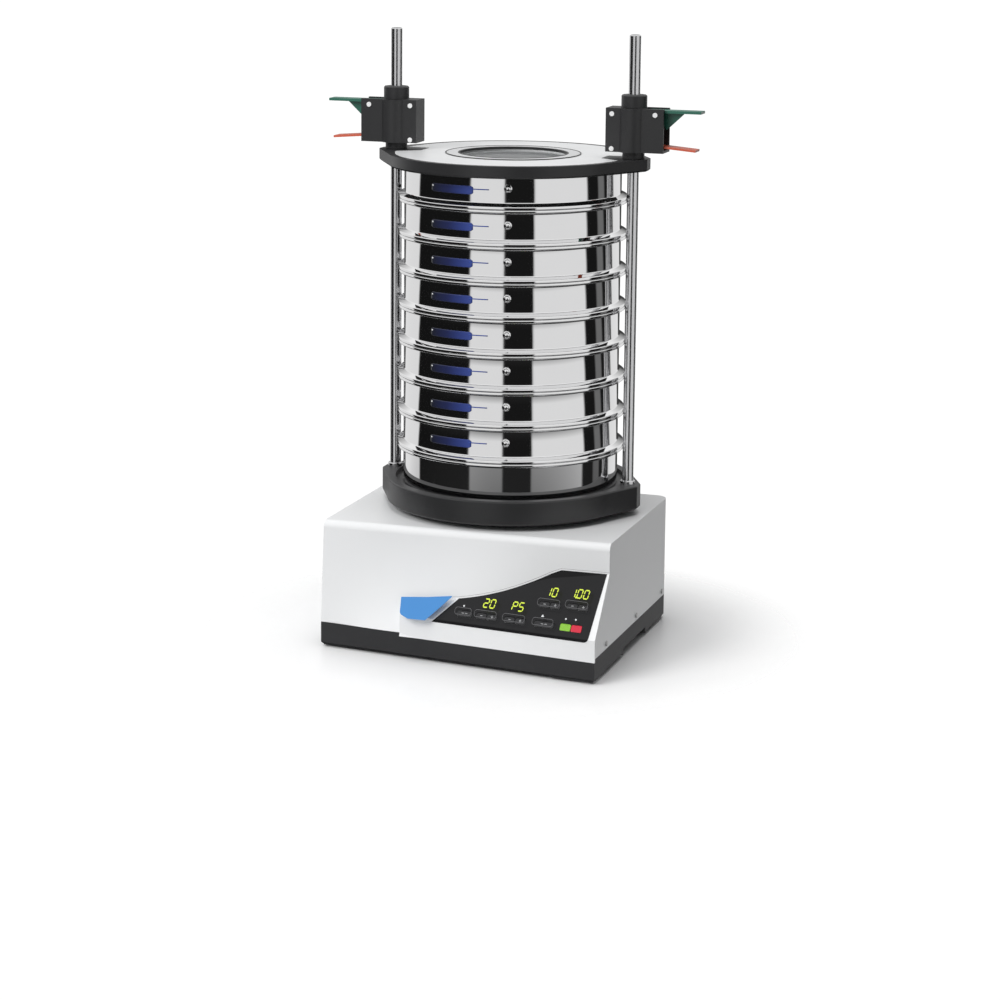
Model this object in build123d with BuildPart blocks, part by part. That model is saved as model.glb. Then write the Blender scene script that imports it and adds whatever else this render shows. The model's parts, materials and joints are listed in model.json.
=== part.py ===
from build123d import *
import math
import os

os.makedirs("parts", exist_ok=True)

# Bench sieve shaker with a stack of eight test sieves and a receiving pan.
# Millimetres, +Z up, -Y towards the user. The origin is on the bench, under the middle of the footprint.

# Footprint and hood
hood_width = 417.0
hood_middle_x = -4.5
hood_back_y = 166.5
hood_front_y = -149.5
hood_top_z = 179.5
hood_floor_z = 36.0
hood_wall = 2.0
hood_bend_radius = 10.0
hood_rear_corner = 20.0
# The front wall bellies out over the console, a slanting plane that leans out more to the right
kink_z_right = 138.0
console_lip_z = 62.0
lean_left = 12.0
lean_right = 68.0
wall_left_belly = 8.1
wall_belly_z = 79.0
wall_foot_leans = [12.0, 20.5, 28.5, 31.0, 26.5]

# Base tray, its corner pads and the rubber feet
tray_floor_z = 4.0
tray_wall = 3.5
tray_floor = 3.5
tray_corner = 12.0
pad_size = 62.0
pad_z = 2.0
grip_length = 118.0
grip_height = 9.0
grip_depth = 26.0
grip_y = -13.5
foot_chamfer = 1.0
foot_radius = 14.0
foot_height = 4.5
foot_inset = 34.0
foot_fit = 0.2
tray_chamfer = 2.5
upstand_gap = 0.3
upstand_height = 14.0

# Hood screws on the two sides
screw_z = 44.0
screw_radius = 1.9
screw_fit = 0.1
screw_head_radius = 3.6
screw_head = 1.8
screw_front_right_y = -161.5
screw_front_left_y = -125.5
screw_middle_y = -6.5
screw_rear_y = 134.5

# Moulded bezel with the membrane keypad
bezel_floor_z = 31.0
bezel_wall = 3.0
bezel_margin = 2.0
seam = 0.4
foil_thickness = 0.5
foil_left_x = -40.0
foil_floor_z = 58.0
foil_corner = 7.0
foil_right_margin = 3.5
foil_foot_margin = 10.5
foil_top_z = 138.0
foil_shoulder_x = 136.0
curve_start = (-7.0, 89.0)
curve_middle = (58.0, 104.8)
curve_end = (122.0, 132.2)
label_left = (-87.5, 79.0)
front_slack = 24.0
side_slack = 8.0

# Keys on the foil, seen from the front: heights of the rows, and how far each lies from the hood's right side
key_row_z = 72.8
interval_row_z = 95.1
amplitude_row_z = 96.9
select_place = 196.9
time_place = 163.3
program_place = 121.0
recall_place = 77.7
start_place = 46.1
stop_place = 29.9
interval_place = 75.3
amplitude_place = 34.5
key_height = 6.4
half_key_width = 15.0
half_key_gap = 1.0
select_key_width = 23.0
recall_key_width = 29.0
start_key_width = 15.2
start_key_height = 7.4
start_key_corner = 1.5
key_rise = 0.4
key_travel = 0.5
key_clearance = 0.6
key_stem = 3.2
board_gap = 0.9
board_thickness = 1.6
board_inset = 6.0
key_corner = 2.6

# Sieving platform
stack_y = 40.5
platform_radius = 177.0
platform_bottom_z = 187.5
platform_top_z = 222.0
platform_ear_reach = 192.0
ear_half_width = 10.0
ear_touch_angle = 31.0
ear_corner = 8.0
platform_edge = 2.5
recess_radius = 164.5
recess_depth = 6.0

# Clamping rods and their collar nuts
rod_x = 175.5
rod_radius = 8.0
rod_top_z = 858.0
rod_seat = 25.0
rod_chamfer = 1.5
rod_fit = 0.03
nut_radius = 10.5
nut_height = 6.0
nut_chamfer = 1.0

# Test sieves and pan: 300 mm class frames that nest at a fixed pitch
sieve_count = 8
sieve_pitch = 50.5
sieve_bore = 152.5
sieve_wall = 1.2
bead_reach = 162.5
bead_height = 8.5
rim_height = 4.5
skirt_depth = 9.0
skirt_wall = 1.2
nest_clearance = 0.3
mesh_thickness = 0.8
bead_roll = 1.5
rim_roll = 1.2
pan_height = 55.5
pan_floor = 1.2

# Lid: cast ring with ears, a top plate and a window
lid_radius = 177.0
lid_overlap = 6.0
lid_ear_reach = 198.0
lid_thickness = 17.0
lid_recess_clearance = 0.8
lid_plate_radius = 167.0
lid_plate_thickness = 2.2
lid_ear_x = 133.0
lid_ear_back_y = 23.0
lid_ear_front_y = -15.0
lid_ear_slope = 35.0
window_radius = 85.0
window_sight_radius = 76.7
window_ring_radius = 94.6
window_ring_height = 3.0
window_thickness = 3.0
window_ledge = 5.0
ring_bevel = 1.5
groove = 0.6

# Quick clamps that run on the rods
clamp_bore = 8.4
clamp_gap = 0.3
clamp_boss_radius = 15.5
clamp_boss_height = 9.5
clamp_height = 61.0
clamp_outward = 47.0
clamp_inward = 36.0
clamp_half_depth = 18.0
clamp_wall = 3.5
clamp_bulge_radius = 19.0
clamp_bulge_y = -7.0
clamp_neck_radius = 18.0
clamp_neck_height = 18.0
clamp_slot_u = 18.0
pin_radius = 2.6
pin_head_radius = 3.4
pin_head = 1.2
pin_outward = 35.0
pin_inward = 27.0
pin_high = 53.0
pin_low = 4.5
pin_play = 0.05
clamp_play = 0.3
lever_thickness = 3.6
lever_plate_z = 55.6
lever_reach = 98.5
lever_half_width = 11.5
lever_web_depth = 24.0
lever_web_length = 26.0
lever_web_thickness = 4.0
lever_eye_radius = 5.5
lever_nose_u = 16.0
plate_thickness = 3.0
plate_bore = 9.2
brake_root_z = 13.1
brake_reach = 91.5
brake_half_width = 12.0
brake_droop = 4.7
drive_plate_z = 46.0
drive_plate_outward = 24.0
drive_plate_half_width = 12.0
spring_radius = 13.0
spring_wall = 2.0

# Drive under the platform
seal_wall = 6.0
seal_inner_radius = 112.0
hood_opening_radius = 106.0
weight_length = 300.0
weight_depth = 230.0
weight_height = 20.0
weight_corner = 8.0
core_size = 84.0
core_depth = 64.0
core_height = 66.0
core_leg = 18.0
coil_play = 1.0
coil_height = 44.0
coil_corner = 8.0
air_gap = 4.0
armature_height = 20.0
carrier_radius = 112.0
carrier_thickness = 12.0
stem_radius = 40.0
spring_circle = 92.0
drive_spring_radius = 16.0
drive_spring_bore = 9.0

# Rear panel: places are from the module's centre, seen from behind
inlet_x = -140.0
inlet_z = 78.0
inlet_width = 54.0
inlet_height = 38.0
inlet_depth = 30.0
socket_place = (-10.0, -6.5)
socket_width = 24.5
socket_height = 17.0
socket_depth = 18.0
socket_corner = 2.0
blade_length = 12.0
blade_width = 4.0
blade_thickness = 2.0
blade_spacing = 7.0
blade_rise = 2.0
fuse_place = (-10.0, 11.0)
fuse_width = 24.0
fuse_height = 8.0
fuse_depth = 16.0
switch_place = (15.0, 0.0)
switch_width = 14.0
bay_height = 20.8
bay_depth = 14.0
rocker_height = 18.6
rocker_thickness = 8.0
rocker_tilt = 6.0
rocker_back = 5.0
trunnion_radius = 1.5
trunnion_length = 2.0
rear_fit = 0.3

# Worked out sizes
half_width = hood_width / 2
hood_left_x = hood_middle_x - half_width
hood_right_x = hood_middle_x + half_width
foil_right_x = hood_right_x - foil_right_margin
foil_foot_x = hood_right_x - foil_foot_margin
bezel_left_x = label_left[0] - bezel_margin - seam
front_reach = lean_right + 2 * front_slack
bottom_middle = (Align.CENTER, Align.CENTER, Align.MIN)
shank_length = hood_wall + upstand_gap + tray_wall
stack = Axis((0, stack_y, 0), (0, 0, 1))
side_plane = Plane.XZ.offset(-stack_y)
pan_seat_z = platform_top_z - recess_depth
pan_rim_z = pan_seat_z + pan_height
stack_top_z = pan_rim_z + sieve_count * sieve_pitch
lid_bottom_z = stack_top_z - lid_overlap
lid_top_z = lid_bottom_z + lid_thickness
body_radius = sieve_bore + sieve_wall
clamp_base_z = lid_top_z + clamp_gap
housing_z = clamp_base_z + clamp_boss_height
housing_top_z = housing_z + clamp_height
weight_z = tray_floor_z + tray_floor
core_z = weight_z + weight_height
core_top_z = core_z + core_height
armature_z = core_top_z + air_gap
carrier_z = armature_z + armature_height
rocker_x = inlet_x - switch_place[0]
rocker_y = hood_back_y - rocker_back
rocker_z = inlet_z + switch_place[1]
blade_places = [(socket_place[0] - blade_spacing, socket_place[1] - blade_rise),
                (socket_place[0], socket_place[1] + blade_rise),
                (socket_place[0] + blade_spacing, socket_place[1] - blade_rise)]


def save(piece, name):
    piece.label = name
    export_step(piece, "parts/" + name + ".step")


# The hood's front is a smooth wall, and the console is a plane that comes forward through it
def across(left_value, right_value, x):
    return left_value + (right_value - left_value) * (x - hood_left_x) / hood_width


console_slope = lean_right / (kink_z_right - console_lip_z)


def console_y(x, z):
    return hood_front_y - across(lean_left, lean_right, x) + (z - console_lip_z) * console_slope


def wall_belly(x, z):
    # The wall meets the console along the bezel's upper edge
    return (x, z, min(console_y(x, z), hood_front_y))


wall_places = [(hood_left_x - side_slack, wall_belly_z, hood_front_y - wall_left_belly),
               ((hood_left_x + label_left[0]) / 2, wall_belly_z,
                (hood_front_y - wall_left_belly + console_y(*label_left)) / 2),
               wall_belly(*label_left), wall_belly(*curve_start), wall_belly(*curve_middle)]


def wall_y(belly_z, belly_y, foot_y, z):
    # A parabola through the hood's top, the belly and the foot
    top_part = hood_front_y * (z - belly_z) * (z - hood_floor_z) / (hood_top_z - belly_z) / (hood_top_z - hood_floor_z)
    belly_part = belly_y * (z - hood_top_z) * (z - hood_floor_z) / (belly_z - hood_top_z) / (belly_z - hood_floor_z)
    foot_part = foot_y * (z - hood_top_z) * (z - belly_z) / (hood_floor_z - hood_top_z) / (hood_floor_z - belly_z)
    return top_part + belly_part + foot_part


wall_levels = [hood_top_z + front_slack, hood_top_z, (hood_top_z + wall_belly_z) / 2, wall_belly_z,
               hood_floor_z, hood_floor_z - front_slack]
wall_back_y = hood_back_y + front_slack


def wall_section(x, front_points):
    with BuildSketch(Plane.YZ.offset(x)) as section:
        with BuildLine():
            front = Spline(*front_points)
            Polyline(front @ 1, (wall_back_y, wall_levels[-1]), (wall_back_y, wall_levels[0]), front @ 0)
        make_face()
    return section.sketch


def console_section(x, inset):
    lean = across(lean_left, lean_right, x)
    kink_z = console_lip_z + lean / console_slope
    with BuildSketch(Plane.YZ.offset(x)) as section:
        Polygon((hood_front_y + front_slack, wall_levels[-1]), (hood_front_y + front_slack, kink_z),
                (hood_front_y, kink_z), (hood_front_y - lean, console_lip_z),
                (hood_front_y - lean, wall_levels[-1]), align=None)
        if inset:
            offset(amount=-inset, kind=Kind.INTERSECTION)
    return section.sketch


def hood_envelope(inset, side_inset, floor_z):
    with BuildPart() as wall:
        for (x, belly_z, belly_y), foot_lean in zip(wall_places, wall_foot_leans):
            foot_y = hood_front_y - foot_lean
            add(wall_section(x, [(wall_y(belly_z, belly_y, foot_y, z) + inset, z) for z in wall_levels]))
        add(wall_section(curve_end[0], [(hood_front_y + inset, z) for z in wall_levels]))
        loft()
    with BuildPart() as console:
        add(console_section(bezel_left_x + inset, inset))
        add(console_section(hood_right_x + side_slack, inset))
        loft(ruled=True)
    with BuildPart() as envelope:
        add(wall)
        with Locations((curve_end[0], hood_front_y + inset, wall_levels[-1])):
            Box(hood_width, wall_back_y - hood_front_y, wall_levels[0] - wall_levels[-1], align=Align.MIN)
        add(console)
        with Locations((hood_left_x + side_inset, hood_back_y - inset, floor_z)):
            Box(hood_width - 2 * side_inset, hood_width, hood_top_z - inset - floor_z,
                align=(Align.MIN, Align.MAX, Align.MIN), mode=Mode.INTERSECT)
        top = envelope.faces().sort_by(Axis.Z)[-1]
        fillet(top.edges().filter_by(lambda edge: edge.center().Y < hood_front_y + front_slack / 2
                                     and edge.length > front_slack), hood_bend_radius - inset)
        rear = envelope.edges().filter_by(Axis.Z).group_by(Axis.Y)[-1]
        fillet(rear, hood_rear_corner - inset)
    return envelope.part


# Regions of the front, drawn as the user sees them
front_view = Plane.XZ.offset(-hood_front_y - front_slack)
with BuildSketch(front_view) as bezel_outline:
    with BuildLine():
        top = Line(curve_start, label_left)
        rim = Polyline(top @ 1, (label_left[0], 0), (hood_right_x + front_slack, 0),
                       (hood_right_x + front_slack, foil_top_z), (foil_shoulder_x, foil_top_z), curve_end)
        ThreePointArc(curve_end, curve_middle, curve_start)
    make_face()
    offset(amount=bezel_margin, kind=Kind.INTERSECTION)

with BuildSketch(front_view) as foil_outline:
    with BuildLine():
        edge = Polyline(curve_start, (foil_left_x, foil_floor_z), (foil_foot_x, foil_floor_z),
                        (foil_right_x, foil_top_z), (foil_shoulder_x, foil_top_z), curve_end)
        ThreePointArc(edge @ 0, curve_middle, edge @ 1)
    make_face()
    foot_corner = foil_outline.vertices().sort_by_distance(front_view.from_local_coords((foil_foot_x, foil_floor_z)))
    fillet(foot_corner[0], foil_corner)


def front_slab(outline, margin, outer_inset, inner_inset, floor_z):
    # What lies between two offsets of the hood's surface, inside an outline seen from the front
    outer = hood_envelope(outer_inset, min(outer_inset, 0), floor_z)
    inner = hood_envelope(inner_inset, -side_slack, floor_z - front_slack)
    with BuildPart() as slab:
        with BuildSketch(front_view):
            add(outline)
            if margin:
                offset(amount=margin, kind=Kind.INTERSECTION)
        extrude(amount=front_reach)
        add(outer, mode=Mode.INTERSECT)
        add(inner, mode=Mode.SUBTRACT)
    return slab.part


# Keys: name, centre x, centre z, width, height, corner
keys = [
    ("select_key", hood_right_x - select_place, key_row_z, select_key_width, key_height, key_corner),
    ("recall_key", hood_right_x - recall_place, key_row_z, recall_key_width, key_height, key_corner),
    ("start_key", hood_right_x - start_place, key_row_z, start_key_width, start_key_height, start_key_corner),
    ("stop_key", hood_right_x - stop_place, key_row_z, start_key_width, start_key_height, start_key_corner),
]
pairs = [("time", time_place, key_row_z), ("program", program_place, key_row_z),
         ("interval", interval_place, interval_row_z), ("amplitude", amplitude_place, amplitude_row_z)]
half_shift = (half_key_width + half_key_gap) / 2
for name, place, z in pairs:
    middle = hood_right_x - place
    keys.append((name + "_minus_key", middle - half_shift, z, half_key_width, key_height, key_corner))
    keys.append((name + "_plus_key", middle + half_shift, z, half_key_width, key_height, key_corner))


def key_sketch(x, z, width, height, corner):
    with BuildSketch(front_view) as outline:
        with Locations((x, z)):
            RectangleRounded(width, height, corner)
    return outline.sketch


with BuildSketch(front_view) as key_openings:
    for name, x, z, width, height, corner in keys:
        with Locations((x, z)):
            RectangleRounded(width + 2 * key_clearance, height + 2 * key_clearance, corner + key_clearance)

outer_hood = hood_envelope(0, 0, hood_floor_z)
inner_hood = hood_envelope(hood_wall, hood_wall, hood_floor_z - front_slack)
bezel_body = front_slab(bezel_outline.sketch, 0, 0, bezel_wall, bezel_floor_z)
bezel_seat = front_slab(bezel_outline.sketch, seam, -seam, bezel_wall + seam, bezel_floor_z)

# Casing: a sheet hood, open below, with a round opening for the drive
def side_x(side):
    return hood_middle_x + side * half_width


screw_places = [(1, screw_front_right_y), (-1, screw_front_left_y)]
screw_places += [(side, y) for side in (-1, 1) for y in (screw_middle_y, screw_rear_y)]
with BuildPart() as casing:
    add(outer_hood)
    add(inner_hood, mode=Mode.SUBTRACT)
    add(bezel_seat, mode=Mode.SUBTRACT)
    with Locations((0, stack_y, hood_top_z)):
        Cylinder(hood_opening_radius, 2 * hood_wall + seam, mode=Mode.SUBTRACT)
    with Locations((inlet_x, hood_back_y, inlet_z)):
        Box(inlet_width + 2 * rear_fit, 2 * hood_wall + seam, inlet_height + 2 * rear_fit, mode=Mode.SUBTRACT)
    for side, y in screw_places:
        with Locations(Location((side_x(side), y, screw_z), (0, 90, 0))):
            Cylinder(screw_radius + screw_fit, 2 * hood_wall + seam, mode=Mode.SUBTRACT)
save(casing.part, "casing")

# Front bezel: the white moulding that carries the keypad
with BuildPart() as front_bezel:
    add(bezel_body)
    with BuildSketch(front_view):
        add(key_openings.sketch)
    extrude(amount=front_reach, mode=Mode.SUBTRACT)
save(front_bezel.part, "front_bezel")

# Keypad foil, laid on the bezel
foil_body = front_slab(foil_outline.sketch, 0, -foil_thickness, 0, bezel_floor_z)
with BuildPart() as keypad_foil:
    add(foil_body)
    with BuildSketch(front_view):
        add(key_openings.sketch)
    extrude(amount=front_reach, mode=Mode.SUBTRACT)
save(keypad_foil.part, "keypad_foil")

# Keys: each a rounded pad that comes up through the foil and the bezel
key_skin = hood_envelope(-foil_thickness - key_rise, -foil_thickness - key_rise, bezel_floor_z)
key_back = hood_envelope(key_stem, -side_slack, bezel_floor_z - front_slack)
for name, x, z, width, height, corner in keys:
    with BuildPart() as key:
        with BuildSketch(front_view):
            add(key_sketch(x, z, width, height, corner))
        extrude(amount=front_reach)
        add(key_skin, mode=Mode.INTERSECT)
        add(key_back, mode=Mode.SUBTRACT)
    save(key.part, name)

# Base tray: a tub under the hood, with an upstand inside it, corner pads and two hand grips
footprint = [(hood_left_x, hood_back_y), (hood_right_x, hood_back_y),
             (hood_right_x, hood_front_y - lean_right), (hood_left_x, hood_front_y - lean_left)]
foot_places = [(hood_left_x + foot_inset, hood_back_y - foot_inset),
               (hood_right_x - foot_inset, hood_back_y - foot_inset),
               (hood_left_x + foot_inset, hood_front_y - lean_left + foot_inset),
               (hood_right_x - foot_inset, hood_front_y - lean_right + foot_inset)]


def footprint_sketch(height, inset):
    with BuildSketch(Plane.XY.offset(height)) as plan:
        Polygon(*footprint, align=None)
        fillet(plan.vertices().group_by(Axis.Y)[-1], hood_rear_corner)
        if inset:
            offset(amount=-inset, kind=Kind.INTERSECTION)
    return plan.sketch


tub_plan = footprint_sketch(tray_floor_z, 0)
pad_plan = footprint_sketch(pad_z, tray_chamfer)
upstand_inset = hood_wall + upstand_gap
upstand_plan = footprint_sketch(hood_floor_z, upstand_inset)
upstand_outside = hood_envelope(upstand_inset, upstand_inset, hood_floor_z - front_slack)
upstand_inside = hood_envelope(upstand_inset + tray_wall, upstand_inset + tray_wall, hood_floor_z - front_slack)
with BuildPart() as upstand:
    extrude(to_extrude=upstand_plan, amount=upstand_height)
    add(upstand_outside, mode=Mode.INTERSECT)
    add(upstand_inside, mode=Mode.SUBTRACT)
hollow_plan = footprint_sketch(tray_floor_z + tray_floor, hood_wall + upstand_gap + tray_wall)
with BuildPart() as base_tray:
    extrude(to_extrude=tub_plan, amount=hood_floor_z - tray_floor_z)
    chamfer(base_tray.faces().sort_by(Axis.Z)[0].edges(), tray_chamfer)
    extrude(to_extrude=hollow_plan, amount=hood_top_z, mode=Mode.SUBTRACT)
    add(upstand)
    for side in (-1, 1):
        with Locations((side_x(side) - side * (grip_depth + tray_wall) / 2, grip_y, tray_floor_z)):
            Box(grip_depth + tray_wall, grip_length + 2 * tray_wall, grip_height + tray_wall, align=bottom_middle)
    with BuildSketch(Plane.XY.offset(pad_z)):
        with Locations(*foot_places):
            Rectangle(pad_size, pad_size)
        add(pad_plan, mode=Mode.INTERSECT)
    extrude(amount=tray_floor_z - pad_z)
    for side in (-1, 1):
        with Locations((side_x(side), grip_y, 0)):
            Box(2 * grip_depth, grip_length, tray_floor_z + grip_height, align=bottom_middle, mode=Mode.SUBTRACT)
    for x, y in foot_places:
        with Locations((x, y, 0)):
            Cylinder(foot_radius + foot_fit, foot_height, align=bottom_middle, mode=Mode.SUBTRACT)
    add(bezel_seat, mode=Mode.SUBTRACT)
    for side, y in screw_places:
        with Locations(Location((side_x(side), y, screw_z), (0, 90, 0))):
            Cylinder(screw_radius + screw_fit, 2 * shank_length + seam, mode=Mode.SUBTRACT)
save(base_tray.part, "base_tray")

# Rubber feet in the tray's corner pockets
with BuildPart() as rubber_feet:
    for x, y in foot_places:
        with Locations((x, y, 0)):
            Cylinder(foot_radius, foot_height, align=bottom_middle)
    chamfer(rubber_feet.faces().group_by(Axis.Z)[0].edges(), foot_chamfer)
save(rubber_feet.part, "rubber_feet")

# Hood screws: round heads outside, shanks through the hood into the tray's upstand
with BuildPart() as hood_screws:
    for side, y in screw_places:
        with Locations(Location((side_x(side), y, screw_z), (0, side * 90, 0))):
            Cylinder(screw_head_radius, screw_head, align=bottom_middle)
        with Locations(Location((side_x(side), y, screw_z), (0, side * -90, 0))):
            Cylinder(screw_radius, shank_length, align=bottom_middle)
save(hood_screws.part, "hood_screws")

# Sieving platform: a cast plate with two ears, recessed for the pan
touch = math.radians(ear_touch_angle)
touch_x = platform_radius * math.cos(touch)
touch_y = platform_radius * math.sin(touch)


def eared_disc(height, radius, ear_reach):
    with BuildSketch(Plane.XY.offset(height)) as plan:
        with Locations((0, stack_y)):
            Circle(radius)
        for side in (-1, 1):
            with BuildLine():
                Polyline((side * touch_x, stack_y + touch_y), (side * ear_reach, stack_y + ear_half_width),
                         (side * ear_reach, stack_y - ear_half_width), (side * touch_x, stack_y - touch_y), close=True)
            make_face()
        fillet(plan.vertices().group_by(Axis.X)[0] + plan.vertices().group_by(Axis.X)[-1], ear_corner)
    return plan.sketch


rod_places = [(-rod_x, stack_y), (rod_x, stack_y)]
platform_plan = eared_disc(platform_bottom_z, platform_radius, platform_ear_reach)
with BuildPart() as sieving_platform:
    extrude(to_extrude=platform_plan, amount=platform_top_z - platform_bottom_z)
    fillet(sieving_platform.faces().sort_by(Axis.Z)[-1].edges(), platform_edge)
    chamfer(sieving_platform.faces().sort_by(Axis.Z)[0].edges(), platform_edge)
    with Locations((0, stack_y, pan_seat_z)):
        Cylinder(recess_radius, 2 * recess_depth, align=bottom_middle, mode=Mode.SUBTRACT)
    for x, y in rod_places:
        with Locations((x, y, platform_top_z - rod_seat)):
            Cylinder(rod_radius + rod_fit, 2 * rod_seat, align=bottom_middle, mode=Mode.SUBTRACT)
save(sieving_platform.part, "sieving_platform")

# Clamping rods, screwed into the ears, and their collar nuts
with BuildPart() as clamping_rods:
    for x, y in rod_places:
        with Locations((x, y, platform_top_z - rod_seat)):
            Cylinder(rod_radius, rod_top_z - platform_top_z + rod_seat, align=bottom_middle)
    chamfer(clamping_rods.faces().group_by(Axis.Z)[-1].edges(), rod_chamfer)
save(clamping_rods.part, "clamping_rods")

with BuildPart() as rod_nuts:
    for x, y in rod_places:
        with Locations((x, y, platform_top_z)):
            Cylinder(nut_radius, nut_height, align=bottom_middle)
    chamfer(rod_nuts.faces().group_by(Axis.Z)[-1].edges(), nut_chamfer)
    for x, y in rod_places:
        with Locations((x, y, platform_top_z)):
            Cylinder(rod_radius + rod_fit, nut_height, align=bottom_middle, mode=Mode.SUBTRACT)
save(rod_nuts.part, "rod_nuts")

# Receiving pan: a plain cup with the same rim as the sieves
with BuildPart() as receiving_pan:
    with BuildSketch(side_plane):
        with BuildLine():
            Polyline((0, pan_seat_z), (body_radius, pan_seat_z), (body_radius, pan_rim_z - rim_height),
                     (bead_reach, pan_rim_z - rim_height + rim_roll), (bead_reach, pan_rim_z - rim_roll),
                     (bead_reach - rim_roll, pan_rim_z), (sieve_bore, pan_rim_z),
                     (sieve_bore, pan_seat_z + pan_floor), (0, pan_seat_z + pan_floor), close=True)
        make_face()
    revolve(axis=stack)
save(receiving_pan.part, "receiving_pan")

# Test sieves: bead, rim and nesting skirt in one spun frame, and a woven mesh held at the bead
skirt_radius = sieve_bore - nest_clearance
for number in range(1, sieve_count + 1):
    seat_z = stack_top_z - number * sieve_pitch
    top_z = seat_z + sieve_pitch
    mesh_z = seat_z + bead_height - mesh_thickness
    with BuildPart() as sieve:
        with BuildSketch(side_plane):
            with BuildLine():
                Polyline((skirt_radius, seat_z - skirt_depth), (skirt_radius, seat_z),
                         (bead_reach - bead_roll, seat_z), (bead_reach, seat_z + bead_roll),
                         (bead_reach, seat_z + bead_height - 2 * bead_roll), (body_radius, seat_z + bead_height),
                         (body_radius, top_z - rim_height), (bead_reach, top_z - rim_height + rim_roll),
                         (bead_reach, top_z - rim_roll), (bead_reach - rim_roll, top_z), (sieve_bore, top_z),
                         (sieve_bore, seat_z + bead_height), (skirt_radius - skirt_wall, mesh_z),
                         (skirt_radius - skirt_wall, seat_z - skirt_depth), close=True)
            make_face()
        revolve(axis=stack)
        with Locations((0, stack_y, mesh_z)):
            Cylinder(skirt_radius - skirt_wall, mesh_thickness, align=bottom_middle)
    save(sieve.part, "sieve_" + str(number))

# Lid casting: a plate with two ears, recessed below for the top sieve's rim and above for the plate
def plate_face(radius, growth):
    reach = lid_radius
    fall = reach * math.tan(math.radians(lid_ear_slope))
    with BuildSketch(Plane.XY.offset(lid_top_z - lid_plate_thickness)) as plan:
        with Locations((0, stack_y)):
            Circle(radius + growth)
        for side in (-1, 1):
            with BuildLine():
                Polyline((side * (lid_ear_x + growth), stack_y + lid_ear_back_y - growth),
                         (side * (lid_ear_x + reach), stack_y + lid_ear_back_y - growth),
                         (side * (lid_ear_x + reach), stack_y + lid_ear_front_y - fall + growth),
                         (side * (lid_ear_x + growth), stack_y + lid_ear_front_y + growth), close=True)
            make_face(mode=Mode.SUBTRACT)
    return plan.sketch


lid_plan = eared_disc(lid_bottom_z, lid_radius, lid_ear_reach)
plate_pocket = plate_face(lid_plate_radius, groove)
plate_plan = plate_face(lid_plate_radius, 0)
plate_z = lid_top_z - lid_plate_thickness
ledge_z = plate_z - window_ledge
with BuildPart() as lid_casting:
    extrude(to_extrude=lid_plan, amount=lid_thickness)
    chamfer(lid_casting.faces().sort_by(Axis.Z)[0].edges(), platform_edge)
    extrude(to_extrude=plate_pocket, amount=lid_plate_thickness, mode=Mode.SUBTRACT)
    with Locations((0, stack_y, lid_bottom_z)):
        Cylinder(bead_reach + lid_recess_clearance, lid_overlap, align=bottom_middle, mode=Mode.SUBTRACT)
        Cylinder(window_sight_radius, lid_thickness, align=bottom_middle, mode=Mode.SUBTRACT)
    with Locations((0, stack_y, ledge_z)):
        Cylinder(window_radius + groove, lid_thickness, align=bottom_middle, mode=Mode.SUBTRACT)
    for x, y in rod_places:
        with Locations((x, y, lid_bottom_z)):
            Cylinder(clamp_bore, lid_thickness, align=bottom_middle, mode=Mode.SUBTRACT)
save(lid_casting.part, "lid_casting")

with BuildPart() as lid_plate:
    extrude(to_extrude=plate_plan, amount=lid_plate_thickness)
    with Locations((0, stack_y, plate_z)):
        Cylinder(window_ring_radius + groove, lid_plate_thickness, align=bottom_middle, mode=Mode.SUBTRACT)
save(lid_plate.part, "lid_plate")

# Window: a clear disc on the casting's ledge, held by a white ring
with BuildPart() as lid_window:
    with Locations((0, stack_y, ledge_z)):
        Cylinder(window_radius, window_thickness, align=bottom_middle)
save(lid_window.part, "lid_window")

# Window ring: rests on the casting, with a spigot that holds the window down
spigot_z = ledge_z + window_thickness
with BuildPart() as window_ring:
    with BuildSketch(side_plane):
        with BuildLine():
            Polyline((window_sight_radius, spigot_z), (window_radius, spigot_z), (window_radius, plate_z),
                     (window_ring_radius, plate_z), (window_ring_radius, plate_z + window_ring_height),
                     (window_sight_radius + ring_bevel, plate_z + window_ring_height),
                     (window_sight_radius, plate_z + window_ring_height - ring_bevel), close=True)
        make_face()
    revolve(axis=stack)
save(window_ring.part, "window_ring")


# Quick clamps. Heights are above the housing's floor, reaches are outwards from the rod
def clamp_side_plane(side, half_depth):
    return Plane(origin=(side * rod_x, stack_y + side * half_depth, housing_z), x_dir=(side, 0, 0),
                 z_dir=(0, -side, 0))


housing_middle = (clamp_outward - clamp_inward) / 2
housing_length = clamp_outward + clamp_inward
pin_places = [(pin_outward, pin_high), (-pin_inward, pin_high), (-pin_inward, pin_low)]
plate_root = clamp_inward - clamp_wall - clamp_play
brake_slope = math.tan(math.radians(brake_droop))
brake_fall = (brake_reach + plate_root) * brake_slope
spring_low = brake_root_z + plate_thickness - (plate_root - spring_radius) * brake_slope + clamp_play
lever_root_u = clamp_slot_u + clamp_wall
nose_top_z = drive_plate_z - clamp_play


def rod_bore(side, radius):
    with Locations((side * rod_x, stack_y, housing_z - clamp_boss_height)):
        Cylinder(radius, 2 * clamp_height, align=bottom_middle, mode=Mode.SUBTRACT)


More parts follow.
